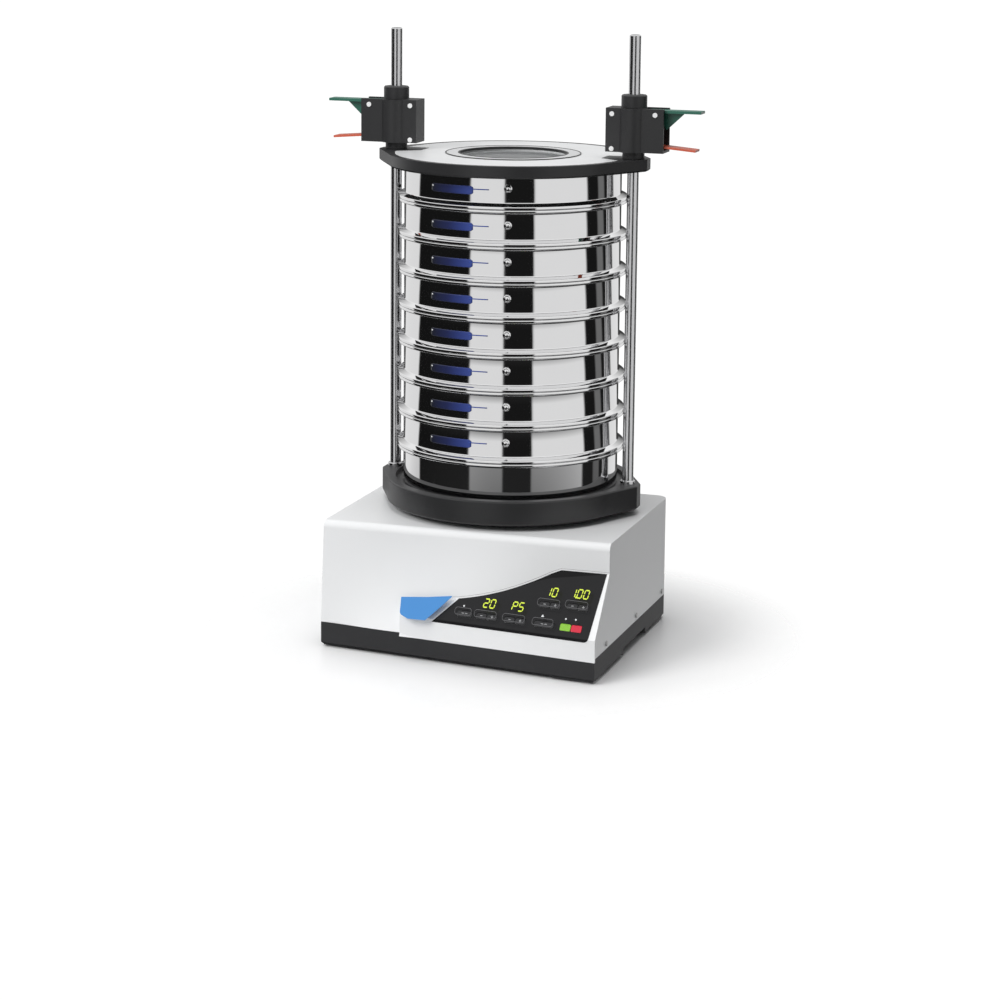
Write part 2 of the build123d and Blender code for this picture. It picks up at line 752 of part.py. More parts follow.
for side, hand in ((-1, "left"), (1, "right")):
    middle_x = side * (rod_x + housing_middle)

    with BuildPart() as back_shell:
        with Locations((middle_x, stack_y + clamp_wall / 2, housing_z)):
            Box(housing_length, 2 * clamp_half_depth - clamp_wall, clamp_height, align=bottom_middle)
        with Locations((middle_x + side * clamp_wall, stack_y, housing_z + clamp_wall)):
            Box(housing_length, 2 * (clamp_half_depth - clamp_wall), clamp_height - 2 * clamp_wall,
                align=bottom_middle, mode=Mode.SUBTRACT)
        with Locations((side * (rod_x + clamp_slot_u + clamp_outward), stack_y, housing_z + clamp_height)):
            Box(2 * clamp_outward, 2 * (lever_half_width + clamp_play), 4 * clamp_wall, mode=Mode.SUBTRACT)
        rod_bore(side, clamp_bore)
        with Locations(*[Location((side * (rod_x + u), stack_y, housing_z + h), (90, 0, 0))
                         for u, h in pin_places]):
            Cylinder(pin_radius + pin_play, 2 * clamp_half_depth + clamp_wall, mode=Mode.SUBTRACT)
    save(back_shell.part, "clamp_" + hand + "_back_shell")

    with BuildPart() as front_cover:
        with BuildSketch(Plane.XY.offset(housing_z)) as cover_plan:
            with Locations((middle_x, stack_y - clamp_half_depth + clamp_wall / 2)):
                Rectangle(housing_length, clamp_wall)
            with Locations((side * rod_x, stack_y + clamp_bulge_y)):
                Circle(clamp_bulge_radius)
                Circle(clamp_bulge_radius - clamp_wall, mode=Mode.SUBTRACT)
            with Locations((middle_x, stack_y - clamp_half_depth + clamp_wall)):
                Rectangle(2 * housing_length, 4 * clamp_half_depth, align=(Align.CENTER, Align.MIN),
                          mode=Mode.SUBTRACT)
        extrude(amount=clamp_height)
        with Locations(*[Location((side * (rod_x + u), stack_y - clamp_half_depth, housing_z + h), (90, 0, 0))
                         for u, h in pin_places]):
            Cylinder(pin_radius + pin_play, 2 * clamp_wall + pin_play, mode=Mode.SUBTRACT)
    save(front_cover.part, "clamp_" + hand + "_front_cover")

    with BuildPart() as bushes:
        with Locations((side * rod_x, stack_y, clamp_base_z)):
            Cylinder(clamp_boss_radius, clamp_boss_height, align=bottom_middle)
        with Locations((side * rod_x, stack_y, housing_top_z)):
            Cylinder(clamp_neck_radius, clamp_neck_height, align=bottom_middle)
        chamfer(bushes.faces().group_by(Axis.Z)[-1].edges(), rod_chamfer)
        rod_bore(side, clamp_bore)
    save(bushes.part, "clamp_" + hand + "_bushes")

    with BuildPart() as pins:
        with Locations(*[Location((side * (rod_x + u), stack_y, housing_z + h), (90, 0, 0))
                         for u, h in pin_places]):
            Cylinder(pin_radius, 2 * clamp_half_depth)
        with Locations(*[Location((side * (rod_x + u), stack_y - clamp_half_depth, housing_z + h), (90, 0, 0))
                         for u, h in pin_places]):
            Cylinder(pin_head_radius, pin_head, align=bottom_middle)
    save(pins.part, "clamp_" + hand + "_pins")

    with BuildPart() as lever:
        with BuildSketch(clamp_side_plane(side, lever_web_thickness / 2)):
            with Locations((pin_outward, pin_high)):
                Circle(lever_eye_radius)
            with BuildLine():
                Polyline((lever_root_u, lever_plate_z), (clamp_outward + lever_web_length, lever_plate_z),
                         (clamp_outward + clamp_play, lever_plate_z - lever_web_depth),
                         (pin_outward, pin_high - lever_eye_radius), (lever_nose_u, nose_top_z - lever_web_thickness),
                         (lever_nose_u, nose_top_z), (lever_root_u + lever_web_thickness, nose_top_z),
                         (pin_outward - lever_eye_radius, pin_high), close=True)
            make_face()
            with Locations((pin_outward, pin_high)):
                Circle(pin_radius + pin_play, mode=Mode.SUBTRACT)
        extrude(amount=lever_web_thickness)
        with BuildSketch(clamp_side_plane(side, lever_half_width)):
            with BuildLine():
                Polyline((lever_root_u, lever_plate_z), (lever_reach, lever_plate_z),
                         (lever_reach, lever_plate_z + lever_thickness),
                         (lever_root_u, lever_plate_z + lever_thickness), close=True)
            make_face()
        extrude(amount=2 * lever_half_width)
    save(lever.part, "clamp_" + hand + "_lever")

    with BuildPart() as drive_plate:
        with Locations((side * (rod_x + (drive_plate_outward - plate_root) / 2), stack_y, housing_z + drive_plate_z)):
            Box(drive_plate_outward + plate_root, 2 * drive_plate_half_width, plate_thickness, align=bottom_middle)
        rod_bore(side, plate_bore)
    save(drive_plate.part, "clamp_" + hand + "_drive_plate")

    with BuildPart() as brake_plate:
        with BuildSketch(clamp_side_plane(side, brake_half_width)):
            with BuildLine():
                Polyline((-plate_root, brake_root_z), (brake_reach, brake_root_z - brake_fall),
                         (brake_reach, brake_root_z - brake_fall + plate_thickness),
                         (-plate_root, brake_root_z + plate_thickness), close=True)
            make_face()
        extrude(amount=2 * brake_half_width)
        rod_bore(side, plate_bore)
    save(brake_plate.part, "clamp_" + hand + "_brake_plate")

    with BuildPart() as spring:
        with Locations((side * rod_x, stack_y, housing_z + spring_low)):
            Cylinder(spring_radius, drive_plate_z - spring_low - clamp_play, align=bottom_middle)
        rod_bore(side, spring_radius - spring_wall)
    save(spring.part, "clamp_" + hand + "_spring")

# Seal between the hood and the platform
with BuildPart() as bellows_seal:
    with Locations((0, stack_y, hood_top_z)):
        Cylinder(seal_inner_radius + seal_wall, platform_bottom_z - hood_top_z, align=bottom_middle)
        Cylinder(seal_inner_radius, platform_bottom_z - hood_top_z, align=bottom_middle, mode=Mode.SUBTRACT)
save(bellows_seal.part, "bellows_seal")

# Counter weight on the tray's floor
with BuildPart() as counter_weight:
    with Locations((0, stack_y, weight_z)):
        Box(weight_length, weight_depth, weight_height, align=bottom_middle)
    chamfer(counter_weight.edges().filter_by(Axis.Z), weight_corner)
save(counter_weight.part, "counter_weight")

# Magnet: a three-legged core with a coil round the middle leg
window_width = (core_size - 3 * core_leg) / 2
window_x = (core_leg + window_width) / 2
with BuildPart() as magnet_core:
    with Locations((0, stack_y, core_z)):
        Box(core_size, core_depth, core_height, align=bottom_middle)
    with Locations((-window_x, stack_y, core_z + core_leg), (window_x, stack_y, core_z + core_leg)):
        Box(window_width, core_depth, core_height, align=bottom_middle, mode=Mode.SUBTRACT)
save(magnet_core.part, "magnet_core")

coil_width = core_leg + 2 * (window_width - coil_play)
with BuildPart() as magnet_coil:
    with Locations((0, stack_y, core_z + core_leg)):
        Box(coil_width, core_depth + coil_width - core_leg, coil_height, align=bottom_middle)
        Box(core_leg + 2 * coil_play, core_depth + 2 * coil_play, coil_height, align=bottom_middle,
            mode=Mode.SUBTRACT)
    fillet(magnet_coil.edges().filter_by(Axis.Z).group_by(Axis.Y)[0], coil_corner)
    fillet(magnet_coil.edges().filter_by(Axis.Z).group_by(Axis.Y)[-1], coil_corner)
save(magnet_coil.part, "magnet_coil")

# Armature: the anchor over the magnet, the carrier plate on its springs and the stem under the platform
with BuildPart() as armature:
    with Locations((0, stack_y, armature_z)):
        Box(core_size, core_depth, armature_height, align=bottom_middle)
    with Locations((0, stack_y, carrier_z)):
        Cylinder(carrier_radius, carrier_thickness, align=bottom_middle)
    with Locations((0, stack_y, carrier_z + carrier_thickness)):
        Cylinder(stem_radius, platform_bottom_z - carrier_z - carrier_thickness, align=bottom_middle)
save(armature.part, "armature")

with BuildPart() as drive_springs:
    with Locations((0, stack_y, core_z)):
        with PolarLocations(spring_circle, 4, 45):
            Cylinder(drive_spring_radius, carrier_z - core_z, align=bottom_middle)
            Cylinder(drive_spring_bore, carrier_z - core_z, align=bottom_middle, mode=Mode.SUBTRACT)
save(drive_springs.part, "drive_springs")

# Control board close behind the keypad's keys
board_near = bezel_wall + board_gap
board_body = front_slab(foil_outline.sketch, -board_inset, board_near, board_near + board_thickness, bezel_floor_z)
with BuildPart() as control_board:
    add(board_body)
save(control_board.part, "control_board")

# Mains inlet module, set flush in the back of the hood: socket, fuse pocket and switch bay
module_plane = Plane(origin=(inlet_x, hood_back_y, inlet_z), x_dir=(-1, 0, 0), z_dir=(0, 1, 0))
with BuildPart() as mains_inlet:
    with BuildSketch(module_plane):
        Rectangle(inlet_width, inlet_height)
    extrude(amount=-inlet_depth)
    with BuildSketch(module_plane):
        with Locations(socket_place):
            RectangleRounded(socket_width, socket_height, socket_corner)
    extrude(amount=-socket_depth, mode=Mode.SUBTRACT)
    with BuildSketch(module_plane):
        with Locations(fuse_place):
            Rectangle(fuse_width + 2 * rear_fit, fuse_height + 2 * rear_fit)
    extrude(amount=-(fuse_depth + rear_fit), mode=Mode.SUBTRACT)
    with BuildSketch(module_plane):
        with Locations(switch_place):
            Rectangle(switch_width, bay_height)
    extrude(amount=-bay_depth, mode=Mode.SUBTRACT)
    with BuildSketch(module_plane.offset(-socket_depth)):
        with Locations(*blade_places):
            Rectangle(blade_thickness, blade_width)
    extrude(amount=blade_length)
    with Locations(Location((rocker_x, rocker_y, rocker_z), (0, 90, 0))):
        Cylinder(trunnion_radius + rod_fit, switch_width + 2 * trunnion_length, mode=Mode.SUBTRACT)
save(mains_inlet.part, "mains_inlet")

with BuildPart() as fuse_drawer:
    with BuildSketch(module_plane):
        with Locations(fuse_place):
            Rectangle(fuse_width, fuse_height)
    extrude(amount=-fuse_depth)
save(fuse_drawer.part, "fuse_drawer")

# Rocker: shown at OFF, its lower end pressed in
with BuildPart() as mains_rocker:
    with Locations(Location((rocker_x, rocker_y, rocker_z), (-rocker_tilt, 0, 0))):
        Box(switch_width - 2 * rear_fit, rocker_thickness, rocker_height)
    with Locations(Location((rocker_x, rocker_y, rocker_z), (0, 90, 0))):
        Cylinder(trunnion_radius, switch_width + 2 * trunnion_length - rear_fit)
save(mains_rocker.part, "mains_rocker")
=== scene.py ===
# %% [markdown]
# A bench sieve shaker. The machine's solids come from CAD as a fixed frame, so this lesson starts by loading them.
# Everything after it is looks: finishes for the solids, and pieces that are too fine or too glossy for plain solids.
# Lengths are metres, the bench is z = 0 and the keypad looks towards -Y.

import bmesh
import bpy
import json
import math
import numpy as np
from mathutils import Matrix, Vector


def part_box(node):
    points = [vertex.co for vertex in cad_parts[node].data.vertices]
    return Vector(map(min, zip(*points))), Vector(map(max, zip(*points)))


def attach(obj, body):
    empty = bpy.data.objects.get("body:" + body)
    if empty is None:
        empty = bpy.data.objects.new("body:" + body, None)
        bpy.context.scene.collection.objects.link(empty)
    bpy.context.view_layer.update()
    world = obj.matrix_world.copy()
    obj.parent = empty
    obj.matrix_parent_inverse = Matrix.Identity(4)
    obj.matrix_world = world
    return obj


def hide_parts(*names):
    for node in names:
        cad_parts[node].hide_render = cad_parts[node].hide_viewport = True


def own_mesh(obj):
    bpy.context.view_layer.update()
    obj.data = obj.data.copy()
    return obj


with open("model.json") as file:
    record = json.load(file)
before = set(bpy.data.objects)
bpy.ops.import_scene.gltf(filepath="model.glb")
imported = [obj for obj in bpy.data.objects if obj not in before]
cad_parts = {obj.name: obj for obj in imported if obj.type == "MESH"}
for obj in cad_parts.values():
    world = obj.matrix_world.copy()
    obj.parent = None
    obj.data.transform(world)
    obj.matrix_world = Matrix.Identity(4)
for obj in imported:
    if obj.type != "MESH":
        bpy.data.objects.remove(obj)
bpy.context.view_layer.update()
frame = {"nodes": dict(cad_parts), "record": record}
nodes = frame["nodes"]
MM = 0.001

# %% [markdown]
# Sizes that several pieces share are read from the solids, so that a piece always sits on what carries it.
# A box gives the lowest and highest corner of one solid, and half the sum of two corners is its middle.

# %% Sizes read from the frame


def middle(node):
    low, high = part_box(node)
    return (low + high) / 2


def corners_of(node):
    """All the corners of a solid as an array of x, y, z."""
    places = np.empty(len(nodes[node].data.vertices) * 3, np.float32)
    nodes[node].data.vertices.foreach_get("co", places)
    return places.reshape(-1, 3).astype(float)


SIEVES = [f"sieve_{number}" for number in range(1, 9)]
stack_centre = middle("receiving_pan")
STACK_X, STACK_Y = stack_centre.x, stack_centre.y
RIM_RADIUS = (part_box("receiving_pan")[1].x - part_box("receiving_pan")[0].x) / 2
print("stack axis", round(STACK_X, 4), round(STACK_Y, 4), "rim radius", round(RIM_RADIUS, 4))

# %% [markdown]
# The camera comes early, because every finish is judged through it. It stands 4 m off with a long lens, a little
# to the machine's right and just above the lid, and it leans half a degree. The lens is shifted, as a product
# photographer does, so that the machine sits high in the frame while its upright edges stay nearly parallel.

# %% Camera
CAMERA_PLACE = Vector((1.2215, -3.7967, 1.1140))
CAMERA_TURN, CAMERA_RISE, CAMERA_ROLL = map(math.radians, (17.66, 10.33, 0.58))
SENSOR_WIDTH, LENS, LENS_SHIFT = 36.0, 103.0, (-0.0111, -0.1333)
camera_data = bpy.data.cameras.new("camera")
camera_data.sensor_width, camera_data.lens = SENSOR_WIDTH, LENS
camera_data.shift_x, camera_data.shift_y = LENS_SHIFT
camera = bpy.data.objects.new("camera", camera_data)
bpy.context.scene.collection.objects.link(camera)
backwards = Vector((math.sin(CAMERA_TURN) * math.cos(CAMERA_RISE),
                    -math.cos(CAMERA_TURN) * math.cos(CAMERA_RISE), math.sin(CAMERA_RISE)))
rightwards = Vector((math.cos(CAMERA_TURN), math.sin(CAMERA_TURN), 0))
upwards = backwards.cross(rightwards)
leaning_right = rightwards * math.cos(CAMERA_ROLL) + upwards * math.sin(CAMERA_ROLL)
leaning_up = upwards * math.cos(CAMERA_ROLL) - rightwards * math.sin(CAMERA_ROLL)
axes = Matrix((leaning_right, leaning_up, backwards)).transposed().to_4x4()
camera.matrix_world = Matrix.Translation(CAMERA_PLACE) @ axes
bpy.context.scene.camera = camera
print("camera looks along", [round(v, 3) for v in -backwards])

# %% [markdown]
# The sky and every finish are node trees. One helper places any node: each input takes a plain value or the
# output of another node. Arithmetic and the mapping of one range of values to another are common enough for
# helpers of their own.

# %% Node helpers


def node_of(tree, kind, inputs, **settings):
    """A node with its settings made first, because they decide which inputs it has, and then its inputs."""
    node = tree.nodes.new("ShaderNode" + kind)
    for setting, value in settings.items():
        setattr(node, setting, value)
    for slot, value in inputs.items():
        if isinstance(value, bpy.types.NodeSocket):
            tree.links.new(value, node.inputs[slot])
        else:
            node.inputs[slot].default_value = value
    return node


def math_node(tree, operation, *values):
    return node_of(tree, "Math", dict(enumerate(values)), operation=operation).outputs[0]


def map_range(tree, value, start, end, low=0.0, high=1.0, **settings):
    """As the value goes from start to end, what comes out goes from low to high, and it stays there beyond."""
    inputs = {"Value": value, "From Min": start, "From Max": end, "To Min": low, "To Max": high}
    return node_of(tree, "MapRange", inputs, **settings).outputs[0]


def object_place(tree):
    """Where the shaded point is, in metres. No piece is moved from the origin, so this is its place in the room."""
    return node_of(tree, "TexCoord", {}).outputs["Object"]


def parts_of(tree, vector):
    return node_of(tree, "SeparateXYZ", {"Vector": vector}).outputs


# %% [markdown]
# Mirror-polished steel has no colour of its own: it shows the studio. The bands down the stack are black cards
# and white walls round the room. Painting them on the sky does the same work as real cards, and they stay out of
# sight because only reflected rays see them. Soft light and the plain background are two more skies, and the
# Light Path node picks one for each kind of ray.

# %% Studio sky
# Where dark cards stand round the room, as degrees from +X towards +Y, with how dark each is
DARK_CARDS = ((12.5, 29.3, 0.01), (29.3, 39.7, 0.17), (39.7, 60.1, 0.012), (86.0, 131.0, 0.05),
              (171.3, 242.6, 0.008), (279.1, 310.4, 0.01))
WALL_WHITE = 0.86
CARD_EDGE = 0.9

world = bpy.data.worlds.new("studio")
bpy.context.scene.world = world
world.use_nodes = True
sky = world.node_tree
sky.nodes.clear()
direction = parts_of(sky, node_of(sky, "TexCoord", {}).outputs["Generated"])
turn = math_node(sky, "ARCTAN2", direction["Y"], direction["X"])
turn_share = math_node(sky, "FRACT", math_node(sky, "MULTIPLY_ADD", turn, 1 / math.tau, 1.0))
cards = node_of(sky, "ValToRGB", {0: turn_share})
stops = [(0.0, WALL_WHITE)]
for number, (first, last, shade) in enumerate(DARK_CARDS):
    before = stops[-1][1]
    stops += [((first - CARD_EDGE) / 360, before), ((first + CARD_EDGE) / 360, shade)]
    following = DARK_CARDS[number + 1][0] if number + 1 < len(DARK_CARDS) else 360.0
    if following > last + 2 * CARD_EDGE:
        stops += [((last - CARD_EDGE) / 360, shade), ((last + CARD_EDGE) / 360, WALL_WHITE)]
ramp = cards.color_ramp
ramp.elements[0].position, ramp.elements[0].color = stops[0][0], (stops[0][1],) * 3 + (1,)
ramp.elements[1].position, ramp.elements[1].color = 1.0, (WALL_WHITE,) * 3 + (1,)
for place, shade in stops[1:]:
    ramp.elements.new(place).color = (shade, shade, shade, 1)
print("sky stops", len(ramp.elements))

# %% [markdown]
# The cards are low: above the horizon a reflected ray meets the white ceiling, which lights the tops of the rims,
# and steep below it the ray meets a dark bench, which draws the black line under each bead. A map from the ray's
# height to a mask makes both changes soft. The soft light is a sky too, and it weakens towards +X, so that the
# hood's right side is a little darker than its front.

# %% Ceiling over the cards, bench under them, and one sky for each kind of ray
CEILING_START, CEILING_FULL = 0.05, 0.45
BENCH_START, BENCH_FULL, BENCH_SHADE = -0.26, -0.40, 0.02
AMBIENT, SHADED_FROM, SHADED_TO, SHADED_SHARE = 0.64, -0.35, 0.85, 0.22
BACKDROP = 1.05
WHITE, SOFT_WHITE = (1.0, 1.0, 1.0, 1.0), (0.98, 0.99, 1.0, 1.0)
ceiling = map_range(sky, direction["Z"], CEILING_START, CEILING_FULL)
bench = map_range(sky, direction["Z"], BENCH_START, BENCH_FULL)


def sky_mix(mask, below, shade):
    """Where the mask is full the sky is one plain shade, and elsewhere it is what comes from below."""
    inputs = {"Factor": mask, "A": below, "B": (shade, shade, shade, 1)}
    return node_of(sky, "Mix", inputs, data_type="RGBA").outputs["Result"]


def sky_light(colour, strength):
    return node_of(sky, "Background", {"Color": colour, "Strength": strength}).outputs[0]


def sky_choice(chooser, otherwise, chosen):
    return node_of(sky, "MixShader", {0: chooser, 1: otherwise, 2: chosen}).outputs[0]


room = sky_mix(bench, sky_mix(ceiling, cards.outputs["Color"], 1.0), BENCH_SHADE)
shaded = map_range(sky, direction["X"], SHADED_FROM, SHADED_TO, AMBIENT, AMBIENT * SHADED_SHARE)
ray = node_of(sky, "LightPath", {})
unseen = sky_choice(ray.outputs["Is Glossy Ray"], sky_light(SOFT_WHITE, shaded), sky_light(room, 1.0))
seen = sky_choice(ray.outputs["Is Camera Ray"], unseen, sky_light(WHITE, BACKDROP))
node_of(sky, "OutputWorld", {"Surface": seen})
bpy.context.scene.view_settings.view_transform = "Standard"

# %% [markdown]
# Two soft boxes shape the white hood: a large one high on the left lights its front and top, and a weaker one
# overhead opens the top and the lid. They don't show in reflections, so the steel keeps its clean bands.

# %% Soft boxes


def soft_box(name, place, target, size, watts):
    light = bpy.data.lights.new(name, "AREA")
    light.shape, light.size, light.energy = "SQUARE", size, watts
    lamp = bpy.data.objects.new(name, light)
    bpy.context.scene.collection.objects.link(lamp)
    lamp.location = place
    lamp.rotation_mode = "QUATERNION"
    lamp.rotation_quaternion = (Vector(target) - Vector(place)).to_track_quat("-Z", "Y")
    lamp.visible_glossy = False
    lamp.visible_camera = False


MACHINE_MIDDLE = (0, 0, 0.35)
soft_box("key_box", (-1.7, -2.4, 2.3), MACHINE_MIDDLE, 1.6, 70)
soft_box("top_box", (0.1, -0.2, 3.0), (0, 0, 0), 1.8, 36)

# %% [markdown]
# The floor is a pale disc that fades out before its edge, so only the soft shadow under the machine is seen and
# the background stays white all round. A little gloss gives the faint reflection of the base.

# %% Floor
FLOOR_RADIUS, FLOOR_FADE_START, FLOOR_FADE_END = 0.9, 0.24, 0.52


def grid_mesh(name, points, close_u=False, close_v=False):
    """A surface from a grid of points, rows x columns x 3. Each face joins a point to its neighbour along the
    row, the one beyond in the next row, and the one beside it there, and a closed way joins last to first."""
    rows, columns = points.shape[:2]
    row = np.arange(rows if close_u else rows - 1)[:, None]
    column = np.arange(columns if close_v else columns - 1)[None, :]
    next_row, next_column = (row + 1) % rows, (column + 1) % columns
    quads = np.stack([row * columns + column, row * columns + next_column,
                      next_row * columns + next_column, next_row * columns + column], axis=-1).reshape(-1, 4)
    mesh = bpy.data.meshes.new(name)
    mesh.from_pydata(points.reshape(-1, 3).tolist(), [], quads.tolist())
    mesh.polygons.foreach_set("use_smooth", np.full(len(quads), True))
    mesh.update()
    return mesh


def place_mesh(name, mesh):
    piece = bpy.data.objects.new(name, mesh)
    bpy.context.scene.collection.objects.link(piece)
    return piece


turns = np.linspace(0, math.tau, 128, endpoint=False)
radii = np.array([1e-4, 0.3, 0.6, FLOOR_RADIUS])
floor_points = np.stack([radii[:, None] * np.cos(turns), radii[:, None] * np.sin(turns),
                         np.zeros((len(radii), len(turns)))], axis=-1)
floor = place_mesh("floor", grid_mesh("floor", floor_points, close_v=True))
floor.visible_glossy = False
print("floor radius", FLOOR_RADIUS)

# %% [markdown]
# A finish is a Principled BSDF with what the eye needs at its own scale: grain, speckle, spun lines. Effects that
# several finishes share are node groups with named sockets, and the shader's own numbers stay in each finish.
# The first group is moulded grain: fine noise for the bump, and slow noise that makes the gloss wander.

# %% Shader groups
EFFECTS = ("Height", "Roughness", "Mottle")
WANDER_SCALE, SMUDGE_SCALE = 14.0, 18.0


def new_group(name, inputs):
    """A group with named inputs, each a number or a vector as its first value is, and three effects out."""
    group = bpy.data.node_groups.new(name, "ShaderNodeTree")
    for label, value in inputs.items():
        kind = "NodeSocketVector" if isinstance(value, tuple) else "NodeSocketFloat"
        group.interface.new_socket(label, in_out="INPUT", socket_type=kind).default_value = value
    for label in EFFECTS:
        group.interface.new_socket(label, in_out="OUTPUT", socket_type="NodeSocketFloat")
    return group, group.nodes.new("NodeGroupInput").outputs


def put_out(group, *effects):
    """The group's height, roughness and mottle, in that order, go to its output."""
    ends = group.nodes.new("NodeGroupOutput")
    for label, effect in zip(EFFECTS, effects):
        group.links.new(effect, ends.inputs[label])


def noise(tree, scale, detail, vector):
    return node_of(tree, "TexNoise", {"Scale": scale, "Detail": detail, "Vector": vector}).outputs[0]


def off_middle(tree, wave):
    """Noise runs from 0 to 1, so taking a half off it makes it sway about nothing."""
    return math_node(tree, "SUBTRACT", wave, 0.5)


grain, given = new_group("moulded grain", {"Grain Scale": 900.0, "Roughness": 0.5, "Wander": 0.06})
place = object_place(grain)
fine, slow = noise(grain, given["Grain Scale"], 2.0, place), noise(grain, WANDER_SCALE, 3.0, place)
wandered = math_node(grain, "MULTIPLY_ADD", off_middle(grain, slow), given["Wander"], given["Roughness"])
put_out(grain, fine, wandered, slow)

# %% [markdown]
# The second group is spun lines. A lathe leaves fine rings, so the noise is read at (distance from the axis,
# height) only, which makes it constant all the way round. The third is brushed lines, long in one direction.

# %% Spun and brushed lines
spun, given = new_group("spun lines", {"Centre X": 0.0, "Centre Y": 0.0, "Line Scale": 1500.0, "Roughness": 0.05,
                                       "Spread": 0.03})
place = object_place(spun)
parts = parts_of(spun, place)
squares = [math_node(spun, "POWER", math_node(spun, "SUBTRACT", parts[axis], given["Centre " + axis]), 2.0)
           for axis in "XY"]
radius = math_node(spun, "SQRT", math_node(spun, "ADD", *squares))
ring = node_of(spun, "CombineXYZ", {"X": radius, "Y": parts["Z"]}).outputs[0]
lines, smudge = noise(spun, given["Line Scale"], 2.0, ring), noise(spun, SMUDGE_SCALE, 4.0, place)
both = math_node(spun, "ADD", off_middle(spun, lines), off_middle(spun, smudge))
put_out(spun, lines, math_node(spun, "MULTIPLY_ADD", both, given["Spread"], given["Roughness"]), smudge)

brushed, given = new_group("brushed lines", {"Stretch": (1.0, 20.0, 20.0), "Line Scale": 60.0, "Roughness": 0.3,
                                             "Spread": 0.15})
stretched = node_of(brushed, "VectorMath", {0: object_place(brushed), 1: given["Stretch"]}, operation="MULTIPLY")
strokes = noise(brushed, given["Line Scale"], 2.0, stretched.outputs[0])
swayed = math_node(brushed, "MULTIPLY_ADD", off_middle(brushed, strokes), given["Spread"], given["Roughness"])
put_out(brushed, strokes, swayed, strokes)
print("groups", [group.name for group in bpy.data.node_groups])

# %% [markdown]
# One function starts every finish: it makes the shader, places a group, and joins its height to a bump, its
# roughness to the shader and its slow mottle to a small change of colour. What makes a finish itself, such as
# metal or coat, is set on the shader's own sockets by name.

# %% Finish builder
finishes = {}


def finish_of(name, colour, group, settings, depth=0.0, mottle=0.06, shader_values=None):
    """A material whose colour runs between a darker and a lighter shade of colour by the group's mottle, with
    bump from the group's height. depth is the bump's depth in metres."""
    made = bpy.data.materials.new(name)
    made.use_nodes = True
    tree = made.node_tree
    shader = tree.nodes["Principled BSDF"]
    effect = node_of(tree, "Group", settings, node_tree=group)
    darker = (*[part * (1 - mottle) for part in colour], 1)
    lighter = (*[min(part * (1 + mottle), 1.0) for part in colour], 1)
    tint = node_of(tree, "Mix", {"Factor": effect.outputs["Mottle"], "A": darker, "B": lighter}, data_type="RGBA")
    tree.links.new(tint.outputs["Result"], shader.inputs["Base Color"])
    tree.links.new(effect.outputs["Roughness"], shader.inputs["Roughness"])
    if depth:
        bump = node_of(tree, "Bump", {"Distance": depth, "Height": effect.outputs["Height"]})
        tree.links.new(bump.outputs["Normal"], shader.inputs["Normal"])
    for label, value in (shader_values or {}).items():
        shader.inputs[label].default_value = value
    finishes[name] = made
    return made


METAL = {"Metallic": 1.0}

# %% [markdown]
# Painted and moulded finishes. The hood is powder coated sheet: nearly white, satin, with a slight orange peel.
# The bezel round the keypad is glossier, so it gets a clear coat. The tray, feet and clamps are charcoal. A row
# gives a finish's colour, the scale of its grain, its roughness, the grain's depth in millimetres and the mottle.

# %% Paints, plastics and rubber


def grained(scale, roughness, wander=0.06):
    return {"Grain Scale": scale, "Roughness": roughness, "Wander": wander}


PAINTS = {
    "hood_white": ((0.80, 0.805, 0.81), 420.0, 0.36, 0.02, 0.012),
    "bezel_white": ((0.84, 0.845, 0.85), 150.0, 0.22, 0.0, 0.01),
    "tray_charcoal": ((0.030, 0.030, 0.032), 1100.0, 0.52, 0.08, 0.12),
    "foot_rubber": ((0.018, 0.018, 0.018), 1600.0, 0.78, 0.1, 0.2),
    "foil_black": ((0.010, 0.010, 0.011), 1900.0, 0.30, 0.02, 0.1),
    "key_black": ((0.016, 0.016, 0.018), 1900.0, 0.34, 0.02, 0.1),
    "key_green": ((0.24, 0.50, 0.045), 1900.0, 0.34, 0.02, 0.05),
    "key_red": ((0.60, 0.022, 0.050), 1900.0, 0.34, 0.02, 0.05),
    "ring_white": ((0.62, 0.625, 0.63), 300.0, 0.3, 0.0, 0.02),
    "cast_black": ((0.020, 0.020, 0.021), 700.0, 0.42, 0.06, 0.15),
    "clamp_black": ((0.021, 0.021, 0.022), 900.0, 0.46, 0.07, 0.15),
    "lever_green": ((0.022, 0.125, 0.085), 600.0, 0.33, 0.02, 0.08),
    "brake_red": ((0.60, 0.115, 0.060), 600.0, 0.35, 0.03, 0.08),
    "inlet_black": ((0.018, 0.018, 0.019), 1200.0, 0.45, 0.04, 0.1),
    "seal_black": ((0.012, 0.012, 0.012), 800.0, 0.72, 0.1, 0.2),
    "board_green": ((0.012, 0.13, 0.05), 260.0, 0.38, 0.03, 0.3),
    "weight_iron": ((0.085, 0.083, 0.080), 350.0, 0.7, 0.3, 0.3),
}
SHINE = {"hood_white": {"Coat Weight": 0.25, "Coat Roughness": 0.25},
         "bezel_white": {"Coat Weight": 0.6, "Coat Roughness": 0.08},
         "foil_black": {"Specular IOR Level": 0.25}}
for name, (colour, scale, roughness, depth, mottle) in PAINTS.items():
    finish_of(name, colour, grain, grained(scale, roughness), depth * MM, mottle, SHINE.get(name))

# %% [markdown]
# Metals. Polished steel keeps a roughness near nothing and only the faintest spun lines, since any bump would
# tear its mirror bands. The rods are ground and plated, the lid's plate is turned, and springs are drawn.

# %% Metals


def turned(scale, roughness, spread):
    return {"Centre X": STACK_X, "Centre Y": STACK_Y, "Line Scale": scale, "Roughness": roughness,
            "Spread": spread}


